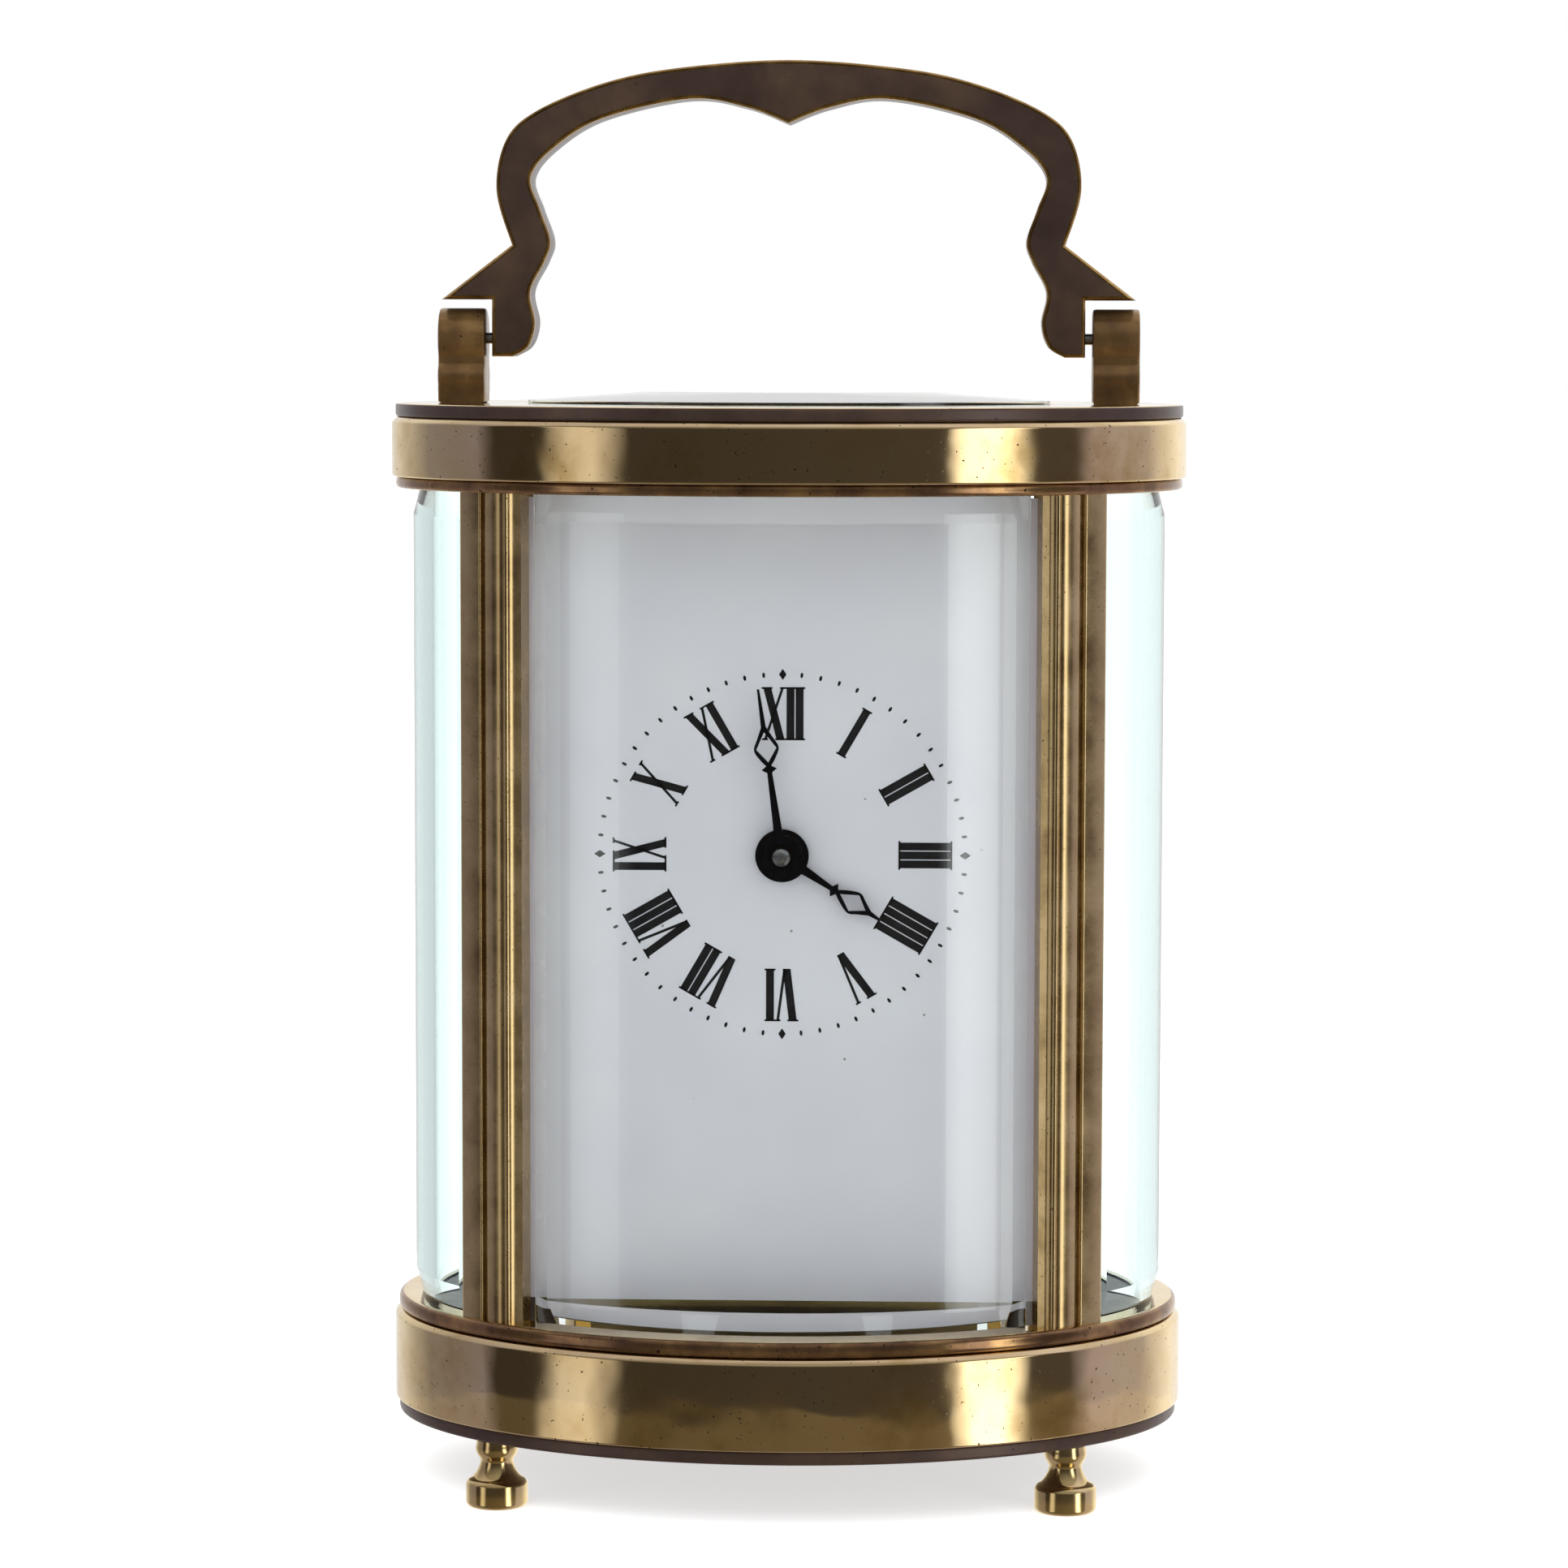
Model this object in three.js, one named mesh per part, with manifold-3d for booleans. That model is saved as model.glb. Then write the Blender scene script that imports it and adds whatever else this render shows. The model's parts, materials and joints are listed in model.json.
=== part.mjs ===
// Oval carriage clock: a glazed brass case with a swing handle, a rear door, a dial and a complete timepiece
// movement with a platform escapement. Millimetres, +Z up, front towards -Y, origin on the table under
// the middle of the feet.
import * as THREE from 'three';
import { mergeVertices } from 'three/addons/utils/BufferGeometryUtils.js';
import Module from 'manifold-3d';

// Case: the two ovals and the stack of plates from the table up
const CASE_HALF_WIDTH = 41.4;
const CASE_HALF_DEPTH = 30;
const FOOT_HEIGHT = 7;
const BASE_BOTTOM_THICKNESS = 1.4;
const BASE_BAND_HEIGHT = 9.4;
const BASE_TOP_THICKNESS = 1.7;
const COLUMN_HEIGHT = 84.6;
const TOP_LIP_THICKNESS = 1.2;
const TOP_BAND_HEIGHT = 6.2;
const TOP_PLATE_THICKNESS = 1.4;
const BAND_WALL = 2;
const EDGE_CHAMFER = 0.3;
const LIP_ROUND = 0.8;
const SEAT_GAP = 0.3;
const PLATE_INSET = 0.4;
const LIP_OPENING_INSET = 10;
const TOP_OPENING_INSET = 13;
const OVAL_STEPS = 46;
const PIN_SIDES = 12;
const CUT = 1;

// Feet
const FOOT_INSET_X = 12.2;
const FOOT_INSET_Y = 12.5;
const FOOT_RADIUS = 3.05;
const FOOT_DISC_HEIGHT = 2.7;
const FOOT_CONE_HEIGHT = 1;
const FOOT_RING_HEIGHT = 1.1;
const FOOT_EASE = 0.5;
const FOOT_WAIST_RADIUS = 1.2;
const FOOT_RING_RADIUS = 1.8;
const FOOT_COLLAR_RADIUS = 2.4;
const FOOT_COLLAR_HEIGHT = 1.2;
const FOOT_STUD_RADIUS = 1;

// Glass and columns
const GLASS_INSET = 2.2;
const GLASS_THICKNESS = 2.2;
const GLASS_BEVEL = 2.8;
const GLASS_BEVEL_DEPTH = 1;
const COLUMN_BEARING = 43;
const COLUMN_PROUD = 1;
const COLUMN_FLANGE_GAP = 0.12;
const COLUMN_WEB_HALF = 3.2;
const COLUMN_WEB_DEPTH = 3.4;
const COLUMN_STRIP = 3;
const COLUMN_GROOVE = 0.25;
const COLUMN_NARROW_REED = 1.2;
const COLUMN_HOLLOW = 1.4;
const COLUMN_WIDE_REED = 1.9;
const COLUMN_FILLET = 1.25;
const COLUMN_REED_DEPTH = 0.5;

// Top glass, lugs and handle
const TOP_GLASS_HALF_WIDTH = 27.2;
const TOP_GLASS_HALF_DEPTH = 19;
const TOP_GLASS_RISE = 1.2;
const TOP_GLASS_BEVEL = 2.2;
const LUG_INSET = 9.9;
const LUG_WIDTH = 4.9;
const LUG_HEAD_RADIUS = 3.1;
const LUG_STEM_HALF = 2.5;
const LUG_BEAD_HEIGHT = 2.2;
const LUG_BEAD_HALF = 3.4;
const LUG_FOOT_HEIGHT = 1.9;
const HANDLE_PIVOT_RISE = 6.7;
const HANDLE_THICKNESS = 7;
const HANDLE_LUG_GAP = 0.8;
const HANDLE_PIN_RADIUS = 0.6;
const HANDLE_PIN_REACH = 2.8;

// Handle outline as [distance, height over the pivot]: the crown and the cusp lie so far from the middle,
// and the rest so far in from the lug's inner face
const HANDLE_CROWN = [[11.7, 27.75], [0, 28.6]];
const HANDLE_CUSP = [[0, 22.1], [4.2, 23.7], [10.2, 24.6]];
const HANDLE_WING = [-4.4, 4];
const HANDLE_NOTCH = [2.9, 9.6];
const HANDLE_OUTER = [[1.3, 15.2], [2.3, 20.4], [5.5, 23.4], [12.3, 26.2]];
const HANDLE_ARCH = [[12.3, 22.6], [7.3, 19.6], [4.9, 16.6], [5.8, 13.4], [6.9, 10.1]];
const HANDLE_KNOB = [[6.3, 7.9], [4.8, 4.8], [5.3, 1.6], [4.6, -0.8], [2.9, -1.9]];

// Rear door
const DOOR_INSET = 1.2;
const DOOR_THICKNESS = 2.6;
const DOOR_RAIL = 4;
const DOOR_REBATE = 1;
const DOOR_GLASS_THICKNESS = 1.4;
const DOOR_SIDE_GAP = 0.6;
const DOOR_PIN_RADIUS = 0.6;
const DOOR_PIN_REACH = 1.3;
const DOOR_KNOB_RADIUS = 1.8;
const DOOR_KNOB_LENGTH = 3;

// Dial and hands
const DIAL_SIDE_GAP = 0.9;
const DIAL_FRONT_Y = -15.5;
const DIAL_THICKNESS = 1;
const DIAL_FLOOR_GAP = 1.8;
const DIAL_TOP_GAP = 0.5;
const DIAL_CENTRE_RISE = 47.8;
const DIAL_HOLE_RADIUS = 2.6;
const DIAL_FOOT_RADIUS = 1.2;
const DIAL_FOOT_INSET = 9;
const HAND_THICKNESS = 0.5;
const HAND_GAP = 0.7;
const HAND_HUB_RADIUS = 2.7;
const HAND_STEM_HALF = 0.35;
const MINUTE_HAND_LENGTH = 17.2;
const MINUTE_HAND_BAR = 9;
const MINUTE_HAND_WIDEST = 11.1;
const MINUTE_HAND_HALF = 1.25;
const MINUTE_HAND_PEAK = 13.3;
const MINUTE_HUB_RADIUS = 2.2;
const MINUTE_HAND_ANGLE = -8;
const HOUR_HAND_LENGTH = 11.9;
const HOUR_HAND_BAR = 6.3;
const HOUR_HAND_WIDEST = 8.7;
const HOUR_HAND_HALF = 1.2;
const HOUR_HAND_PEAK = 10.6;
const HOUR_HAND_ANGLE = 123.5;
const HAND_NUT_RADIUS = 0.9;

// Movement frame
const PLATE_HALF_WIDTH = 20;
const PLATE_THICKNESS = 2;
const FRONT_PLATE_Y = -9.5;
const BACK_PLATE_Y = 13;
const PILLAR_X = 16;
const PILLAR_END_RISE = 5;
const PILLAR_RADIUS = 1.7;
const PILLAR_COLLAR_RADIUS = 2.4;
const PIVOT_RADIUS = 0.5;
const PIVOT_LENGTH = 1.6;
const ARBOR_RADIUS = 0.9;
const SHAFT_CLEARANCE = 0.15;
const END_SHAKE = 0.3;

// Going train: teeth, modules and where each wheel lies along its arbor
const BARREL_TEETH = 60;
const BARREL_MODULE = 0.56;
const BARREL_RADIUS = 14.5;
const BARREL_Y = -3.6;
const BARREL_LENGTH = 11.4;
const GREAT_WHEEL_THICKNESS = 1.6;
const BARREL_BORE_RADIUS = 2.3;
const INTERMEDIATE_PINION = 8;
const INTERMEDIATE_TEETH = 45;
const INTERMEDIATE_MODULE = 0.5;
const INTERMEDIATE_WHEEL_Y = -6.2;
const CENTRE_PINION = 9;
const CENTRE_TEETH = 48;
const CENTRE_MODULE = 0.43;
const CENTRE_WHEEL_Y = 1;
const THIRD_PINION = 6;
const THIRD_TEETH = 45;
const THIRD_MODULE = 0.44;
const THIRD_WHEEL_Y = 6;
const CONTRATE_PINION = 6;
const CONTRATE_TEETH = 48;
const CONTRATE_RADIUS = 8;
const CONTRATE_RIM = 0.8;
const CONTRATE_TOOTH_HEIGHT = 0.75;
const CONTRATE_WHEEL_Y = -1;
const CONTRATE_BACKLASH = 0.15;
const WHEEL_THICKNESS = 1.1;
const WHEEL_RIM = 1.2;
const WHEEL_ARM_HALF = 0.7;
const WHEEL_HUB_RADIUS = 2.3;
const PINION_OVERLAP = 0.7;
const INTERMEDIATE_LEAN = 31.85;
const THIRD_LEAN = 46;

// Winding work behind the back plate
const RATCHET_TEETH = 24;
const RATCHET_RADIUS = 6;
const RATCHET_TOOTH = 0.8;
const RATCHET_LEAN = 0.85;
const RATCHET_THICKNESS = 1.2;
const WINDING_ARBOR_RADIUS = 2;
const WINDING_PIVOT_RADIUS = 1.4;
const WINDING_SQUARE = 2.6;
const WINDING_SQUARE_LENGTH = 4;
const SETTING_SQUARE = 1.8;
const SETTING_SQUARE_LENGTH = 3;
const CLICK_PIVOT_X = 11.5;
const CLICK_PIVOT_RISE = 3;
const CLICK_GAP = 0.25;
const CLICK_BOSS = 1.7;
const CLICK_REACH_ANGLE = 17;
const CLICK_TAIL = 0.9;
const CLICK_TAIL_ANGLE = 6;
const CLICK_LEAF = 0.5;
const CLICK_LEAF_LENGTH = 8;
const CLICK_LEAF_LEAN = 1.8;
const CLICK_LEAF_FOOT = 2.8;

// Motion work between the front plate and the dial
const CANNON_LEAVES = 8;
const MINUTE_WHEEL_TEETH = 24;
const MOTION_MODULE = 0.75;
const MINUTE_PINION_LEAVES = 8;
const HOUR_WHEEL_TEETH = 32;
const MOTION_LEAN = 45;
const MINUTE_WHEEL_Y = -12;
const HOUR_WHEEL_Y = -13.9;
const MOTION_WHEEL_THICKNESS = 0.9;
const MOTION_HUB_RADIUS = 3.1;
const CANNON_PIPE_RADIUS = 1.35;
const HOUR_PIPE_RADIUS = 1.9;
const MINUTE_STUD_RADIUS = 0.8;

// Platform escapement
const CONTRATE_HEADROOM = 2;
const PLATFORM_HALF_WIDTH = 15;
const PLATFORM_THICKNESS = 1.2;
const ESCAPE_TEETH = 15;
const ESCAPE_RADIUS = 3.4;
const ESCAPE_TOOTH = 0.9;
const ESCAPE_SAW = [[0, 0], [1, 0.4], [0, 0.45]];
const ESCAPE_HUB_RADIUS = 0.9;
const ESCAPE_ARM_HALF = 0.25;
const ESCAPE_PINION = 6;
const ESCAPE_WHEEL_RISE = 0.8;
const ESCAPE_THICKNESS = 0.5;
const LEVER_OFFSET = 4.3;
const LEVER_RISE = 0.8;
const PALLET_GAP = 0.4;
const PALLET_DEPTH = 1.1;
const PALLET_TIP_ANGLE = 24.5;
const PALLET_BACK_ANGLE = 39;
const BALANCE_OFFSET = 9.1;
const BALANCE_RADIUS = 6.5;
const BALANCE_RIM = 0.9;
const BALANCE_HUB_RADIUS = 1.2;
const BALANCE_ARM_HALF = 0.6;
const BALANCE_RISE = 3.8;
const BALANCE_THICKNESS = 0.8;
const ROLLER_RADIUS = 1.5;
const ROLLER_RISE = 1.7;
const ROLLER_THICKNESS = 0.5;
const IMPULSE_PIN_RADIUS = 0.22;
const IMPULSE_PIN_OFFSET = 1;
const STAFF_RADIUS = 0.5;
const JEWEL_PIVOT_RADIUS = 0.3;
const ESCAPE_ARBOR_RADIUS = 0.4;
const LEVER_FORK = 3;
const LEVER_SLOT_HALF = 0.32;
const LEVER_SLOT_DEPTH = 0.8;
const LEVER_HORN_HALF = 0.75;
const LEVER_ARM_HALF = 0.45;
const LEVER_HUB = 0.9;
const LOWER_COCK_DROP = 3;
const LOWER_COCK_BACK_Y = -6.5;
const LOWER_COCK_POST = 1.5;
const LOWER_COCK_TOE = 0.7;
const ESCAPE_COCK_FOOT_X = 6.5;
const ESCAPE_COCK_FOOT = 2.5;
const ESCAPE_COCK_HALF = 1.3;
const COCK_FOOT_X = 9.5;
const COCK_FOOT = 4;
const COCK_HALF = 3;
const COCK_HEAD = 1.9;
const COCK_RISE = 6;
const COCK_THICKNESS = 0.8;
const ESCAPE_COCK_RISE = 2.6;
const ESCAPE_COCK_THICKNESS = 0.7;
const HAIRSPRING_RISE = 4.95;
const HAIRSPRING_TURNS = 4;
const HAIRSPRING_PITCH = 0.85;
const HAIRSPRING_INNER = 1.2;
const HAIRSPRING_THICKNESS = 0.35;
const HAIRSPRING_HEIGHT = 0.5;
const HAIRSPRING_STEPS = 12;
const HAIRSPRING_STUD = 1;

// Places that follow from the case and its stack
const FOOT_X = CASE_HALF_WIDTH - FOOT_INSET_X;
const FOOT_Y = CASE_HALF_DEPTH - FOOT_INSET_Y;
const LUG_X = CASE_HALF_WIDTH - LUG_INSET;
const BASE_BAND_Z = FOOT_HEIGHT + BASE_BOTTOM_THICKNESS;
const BASE_TOP_Z = BASE_BAND_Z + BASE_BAND_HEIGHT;
const FLOOR_Z = BASE_TOP_Z + BASE_TOP_THICKNESS;
const TOP_LIP_Z = FLOOR_Z + COLUMN_HEIGHT;
const TOP_BAND_Z = TOP_LIP_Z + TOP_LIP_THICKNESS;
const TOP_PLATE_Z = TOP_BAND_Z + TOP_BAND_HEIGHT;
const ROOF_Z = TOP_PLATE_Z + TOP_PLATE_THICKNESS;
const PIVOT_Z = ROOF_Z + HANDLE_PIVOT_RISE;

const BRASS = { color: 0xb8954f, roughness: 0.25, metalness: 1 };
const DARK_BRASS = { color: 0x4a3a2c, roughness: 0.4, metalness: 1 };
const MOVEMENT_BRASS = { color: 0xc9a95e, roughness: 0.35, metalness: 1 };
const STEEL = { color: 0x9a9ca0, roughness: 0.3, metalness: 1 };
const BLUED_STEEL = { color: 0x12141c, roughness: 0.35, metalness: 1 };
const GLASS = { color: 0xdff0ee, roughness: 0.02, metalness: 0, transparent: true, opacity: 0.3 };
const ENAMEL = { color: 0xe6e8ee, roughness: 0.2, metalness: 0 };

const wasm = await Module();
wasm.setup();
const clock = new THREE.Group();

// A closed body from a geometry: shared points merged, empty faces dropped, all faces turned outwards
function body(geometry) {
  const bare = new THREE.BufferGeometry();
  const loose = geometry.index ? geometry.toNonIndexed() : geometry;
  bare.setAttribute('position', loose.getAttribute('position').clone());
  const merged = mergeVertices(bare, 1e-5);
  const at = merged.getAttribute('position');
  const corner = [0, 1, 2].map(() => new THREE.Vector3());
  const faces = [];
  let volume = 0;
  for (let i = 0; i < merged.index.count; i += 3) {
    const face = [0, 1, 2].map((k) => merged.index.getX(i + k));
    if (new Set(face).size === 3) {
      face.forEach((v, k) => corner[k].fromBufferAttribute(at, v));
      volume += corner[0].dot(corner[1].clone().cross(corner[2]));
      faces.push(face);
    }
  }
  const outward = volume > 0 ? faces : faces.map((f) => [f[0], f[2], f[1]]);
  const triVerts = Uint32Array.from(outward.flat());
  const vertProperties = Float32Array.from(at.array);
  return new wasm.Manifold(new wasm.Mesh({ numProp: 3, vertProperties, triVerts }));
}

function place(name, solid, finish) {
  const mesh = solid.getMesh();
  const geometry = new THREE.BufferGeometry();
  geometry.setAttribute('position', new THREE.BufferAttribute(mesh.vertProperties, 3));
  geometry.setIndex(new THREE.BufferAttribute(mesh.triVerts, 1));
  geometry.computeVertexNormals();
  const piece = new THREE.Mesh(geometry, new THREE.MeshStandardMaterial(finish));
  piece.name = name;
  clock.add(piece);
}

function joined(solids) {
  return solids.reduce((sum, solid) => sum.add(solid));
}

// Outlines are drawn flat and drawn out along one axis: (x, y) along Z, (x, z) along Y, (y, z) along X
const [ALONG_X, ALONG_Y, ALONG_Z] = [[1, 0, 0], [0, 1, 0], [0, 0, 1]].map((v) => new THREE.Vector3(...v));
const AXIS_FRAMES = {
  x: new THREE.Matrix4().makeBasis(ALONG_Y, ALONG_Z, ALONG_X),
  y: new THREE.Matrix4().makeBasis(ALONG_X, ALONG_Z, ALONG_Y.clone().negate()),
  z: new THREE.Matrix4(),
};

function drawn(axis, outline, from, to, holes = [], curveSegments = 4) {
  const shape = outline instanceof THREE.Shape ? outline : new THREE.Shape(outline);
  shape.holes.push(...holes.map((points) => new THREE.Path(points)));
  const options = { depth: to - from, bevelEnabled: false, steps: 1, curveSegments };
  const geometry = new THREE.ExtrudeGeometry(shape, options);
  geometry.translate(0, 0, axis === 'y' ? -to : from);
  return body(geometry.applyMatrix4(AXIS_FRAMES[axis]));
}

// A turned piece: profile points are [radius, distance along the axis], closed on the axis
function turned(axis, profile, sides, x = 0, y = 0, z = 0) {
  const points = profile.map(([radius, height]) => new THREE.Vector2(radius, height));
  const geometry = new THREE.LatheGeometry(points, sides);
  if (axis === 'z') geometry.rotateX(Math.PI / 2);
  if (axis === 'x') geometry.rotateZ(-Math.PI / 2);
  return body(geometry.translate(x, y, z));
}

function cylinder(axis, radius, from, to, sides, x = 0, y = 0, z = 0) {
  return turned(axis, [[0, from], [radius, from], [radius, to], [0, to]], sides, x, y, z);
}

function circle(u, v, radius, sides) {
  const step = (2 * Math.PI) / sides;
  return Array.from({ length: sides }, (_, i) => {
    return new THREE.Vector2(u + radius * Math.cos(i * step), v + radius * Math.sin(i * step));
  });
}

function rectangle(u0, v0, u1, v1) {
  return [[u0, v0], [u1, v0], [u1, v1], [u0, v1]].map(([u, v]) => new THREE.Vector2(u, v));
}

// Grid of points made into faces: each row joins the next, and a closed row joins its own ends
function skin(rows, closed) {
  const corners = [];
  for (let r = 0; r + 1 < rows.length; r += 1) {
    const last = closed ? rows[r].length : rows[r].length - 1;
    for (let i = 0; i < last; i += 1) {
      const k = (i + 1) % rows[r].length;
      corners.push(rows[r][i], rows[r][k], rows[r + 1][k]);
      corners.push(rows[r][i], rows[r + 1][k], rows[r + 1][i]);
    }
  }
  return new THREE.BufferGeometry().setFromPoints(corners);
}

// An oval loft through sections [half width, half depth, height]: a ring where it closes on itself
function ovalLoft(sections, isRing) {
  const turn = circle(0, 0, 1, OVAL_STEPS);
  const rows = sections.map(([halfWidth, halfDepth, height]) => {
    return turn.map((p) => new THREE.Vector3(p.x * halfWidth, p.y * halfDepth, height));
  });
  const middle = (row) => row.map(() => new THREE.Vector3(0, 0, row[0].z));
  if (isRing) return body(skin([...rows, rows[0]], true));
  return body(skin([middle(rows[0]), ...rows, middle(rows.at(-1))], true));
}

// Sections of the case oval, each [inset from the case, height]
function caseOval(profile, isRing) {
  return ovalLoft(profile.map(([inset, height]) => {
    return [CASE_HALF_WIDTH - inset, CASE_HALF_DEPTH - inset, height];
  }), isRing);
}

// Points of the case oval, by angle from +X, set in square to it, and the angle that a length along it takes
function ovalOutward(angle) {
  return new THREE.Vector2(Math.cos(angle) / CASE_HALF_WIDTH, Math.sin(angle) / CASE_HALF_DEPTH).normalize();
}

function onOval(angle, inset, z = 0) {
  const outward = ovalOutward(angle);
  const x = CASE_HALF_WIDTH * Math.cos(angle) - outward.x * inset;
  const y = CASE_HALF_DEPTH * Math.sin(angle) - outward.y * inset;
  return new THREE.Vector3(x, y, z);
}

function ovalAngle(length, angle, inset) {
  const alongX = (CASE_HALF_WIDTH - inset) * Math.sin(angle);
  const alongY = (CASE_HALF_DEPTH - inset) * Math.cos(angle);
  return length / Math.hypot(alongX, alongY);
}

// A curved panel between two angles and two heights, with its outer face bevelled along all four edges
function curvedPanel(from, to, z0, z1, inset, thickness, bevel, bevelDepth, steps = 10) {
  const startBevel = ovalAngle(bevel, from, inset);
  const endBevel = ovalAngle(bevel, to, inset);
  const angles = [from];
  for (let i = 0; i <= steps; i += 1) {
    angles.push(THREE.MathUtils.lerp(from + startBevel, to - endBevel, i / steps));
  }
  angles.push(to);
  const heights = [z0, z0 + bevel, z1 - bevel, z1];
  const isEdge = (i, k) => i === 0 || i === angles.length - 1 || k === 0 || k === heights.length - 1;
  const sunk = (i, k) => inset + (isEdge(i, k) ? bevelDepth : 0);
  const outer = heights.map((z, k) => angles.map((a, i) => onOval(a, sunk(i, k), z)));
  const inner = heights.map((z) => angles.map((a) => onOval(a, inset + thickness, z)));
  const columns = (grid, i) => grid.map((row) => row[i]);
  const last = angles.length - 1;
  const sides = [
    skin(outer, false),
    skin(inner.toReversed(), false),
    skin([inner[0], outer[0]], false),
    skin([outer.at(-1), inner.at(-1)], false),
    skin([columns(outer, 0), columns(inner, 0)], false),
    skin([columns(inner, last), columns(outer, last)], false),
  ];
  const points = sides.flatMap((side) => Array.from(side.getAttribute('position').array));
  const geometry = new THREE.BufferGeometry();
  geometry.setAttribute('position', new THREE.Float32BufferAttribute(points, 3));
  return body(geometry);
}

function ring(name, profile, finish) {
  place(name, caseOval(profile, true), finish);
}

const SIDES = [['left', -1], ['right', 1]];
const ENDS = [['front', -1], ['rear', 1]];
const COLUMN_ANGLE = THREE.MathUtils.degToRad(COLUMN_BEARING);
const COLUMN_WIDTHS = [
  COLUMN_STRIP, COLUMN_GROOVE, COLUMN_NARROW_REED, COLUMN_HOLLOW, COLUMN_WIDE_REED, COLUMN_FILLET,
];
const COLUMN_HALF = COLUMN_WIDTHS.reduce((sum, width) => sum + width) / 2;

// Hinge of the rear door, just inside the right rear column
const DOOR_KNUCKLE = DOOR_THICKNESS / 2;
const DOOR_END_ANGLE = COLUMN_ANGLE + ovalAngle(COLUMN_HALF + DOOR_SIDE_GAP, COLUMN_ANGLE, DOOR_INSET);
const DOOR_HINGE_ANGLE = DOOR_END_ANGLE + ovalAngle(DOOR_KNUCKLE, DOOR_END_ANGLE, DOOR_INSET);
const DOOR_HINGE = onOval(DOOR_HINGE_ANGLE, DOOR_INSET + DOOR_KNUCKLE);
const DOOR_PIN_HOLE = DOOR_PIN_RADIUS + SHAFT_CLEARANCE;

function hingeRod(radius, from, to) {
  return cylinder('z', radius, from, to, PIN_SIDES, DOOR_HINGE.x, DOOR_HINGE.y);
}

function base() {
  const studBore = FOOT_STUD_RADIUS + SHAFT_CLEARANCE;
  const studHole = (x, y) => cylinder('z', studBore, FOOT_HEIGHT - CUT, BASE_BAND_Z + CUT, PIN_SIDES, x, y);
  let bottom = caseOval([
    [PLATE_INSET + EDGE_CHAMFER, FOOT_HEIGHT],
    [PLATE_INSET, FOOT_HEIGHT + EDGE_CHAMFER],
    [PLATE_INSET, BASE_BAND_Z],
  ], false);
  for (const [side, sx] of SIDES) {
    for (const [end, sy] of ENDS) {
      bottom = bottom.subtract(studHole(sx * FOOT_X, sy * FOOT_Y));
      foot(`foot_${end}_${side}`, sx * FOOT_X, sy * FOOT_Y);
      column(`column_${end}_${side}`, sx, sy);
    }
  }
  place('base_bottom_plate', bottom, DARK_BRASS);
  band('base_band', BASE_BAND_Z, BASE_BAND_HEIGHT, BAND_WALL);
  const floor = caseOval([
    [PLATE_INSET, BASE_TOP_Z],
    [PLATE_INSET, FLOOR_Z - LIP_ROUND],
    [PLATE_INSET + LIP_ROUND / 4, FLOOR_Z - LIP_ROUND / 4],
    [PLATE_INSET + LIP_ROUND, FLOOR_Z],
  ], false);
  place('base_top_plate', floor.subtract(hingeRod(DOOR_PIN_HOLE, BASE_TOP_Z - CUT, FLOOR_Z + CUT)), BRASS);
}

// A polished band with its two outer edges eased
function band(name, z, height, wall) {
  ring(name, [
    [EDGE_CHAMFER, z],
    [0, z + EDGE_CHAMFER],
    [0, z + height - EDGE_CHAMFER],
    [EDGE_CHAMFER, z + height],
    [wall, z + height],
    [wall, z],
  ], BRASS);
}

function foot(name, x, y) {
  const collarZ = FOOT_HEIGHT - FOOT_COLLAR_HEIGHT;
  const coneTop = FOOT_DISC_HEIGHT + FOOT_CONE_HEIGHT;
  const ringTop = coneTop + FOOT_RING_HEIGHT;
  const profile = [
    [0, 0],
    [FOOT_RADIUS - FOOT_EASE, 0],
    [FOOT_RADIUS, FOOT_EASE],
    [FOOT_RADIUS, FOOT_DISC_HEIGHT],
    [FOOT_RING_RADIUS - EDGE_CHAMFER, coneTop],
    [FOOT_RING_RADIUS, ringTop - FOOT_EASE],
    [FOOT_WAIST_RADIUS, ringTop],
    [FOOT_WAIST_RADIUS, collarZ - EDGE_CHAMFER],
    [FOOT_COLLAR_RADIUS, collarZ],
    [FOOT_COLLAR_RADIUS, FOOT_HEIGHT],
    [FOOT_STUD_RADIUS, FOOT_HEIGHT],
    [FOOT_STUD_RADIUS, BASE_BAND_Z],
    [0, BASE_BAND_Z],
  ];
  place(name, turned('z', profile, PIN_SIDES, x, y), BRASS);
}

// A point of the right rear column's section: across it, and proud of the glass line
function onColumn(across, proud) {
  const middle = onOval(COLUMN_ANGLE, GLASS_INSET);
  const outward = ovalOutward(COLUMN_ANGLE);
  const x = middle.x + outward.x * proud + outward.y * across;
  const y = middle.y + outward.y * proud - outward.x * across;
  return new THREE.Vector2(x, y);
}

// Half-round reed between two places across the column
function reed(from, to) {
  return [0, 1, 2, 3, 4].map((k) => {
    const turn = (k * Math.PI) / 4;
    const across = (from + to) / 2 + ((from - to) / 2) * Math.cos(turn);
    return [across, COLUMN_PROUD - COLUMN_REED_DEPTH * (1 - Math.sin(turn))];
  });
}

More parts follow.
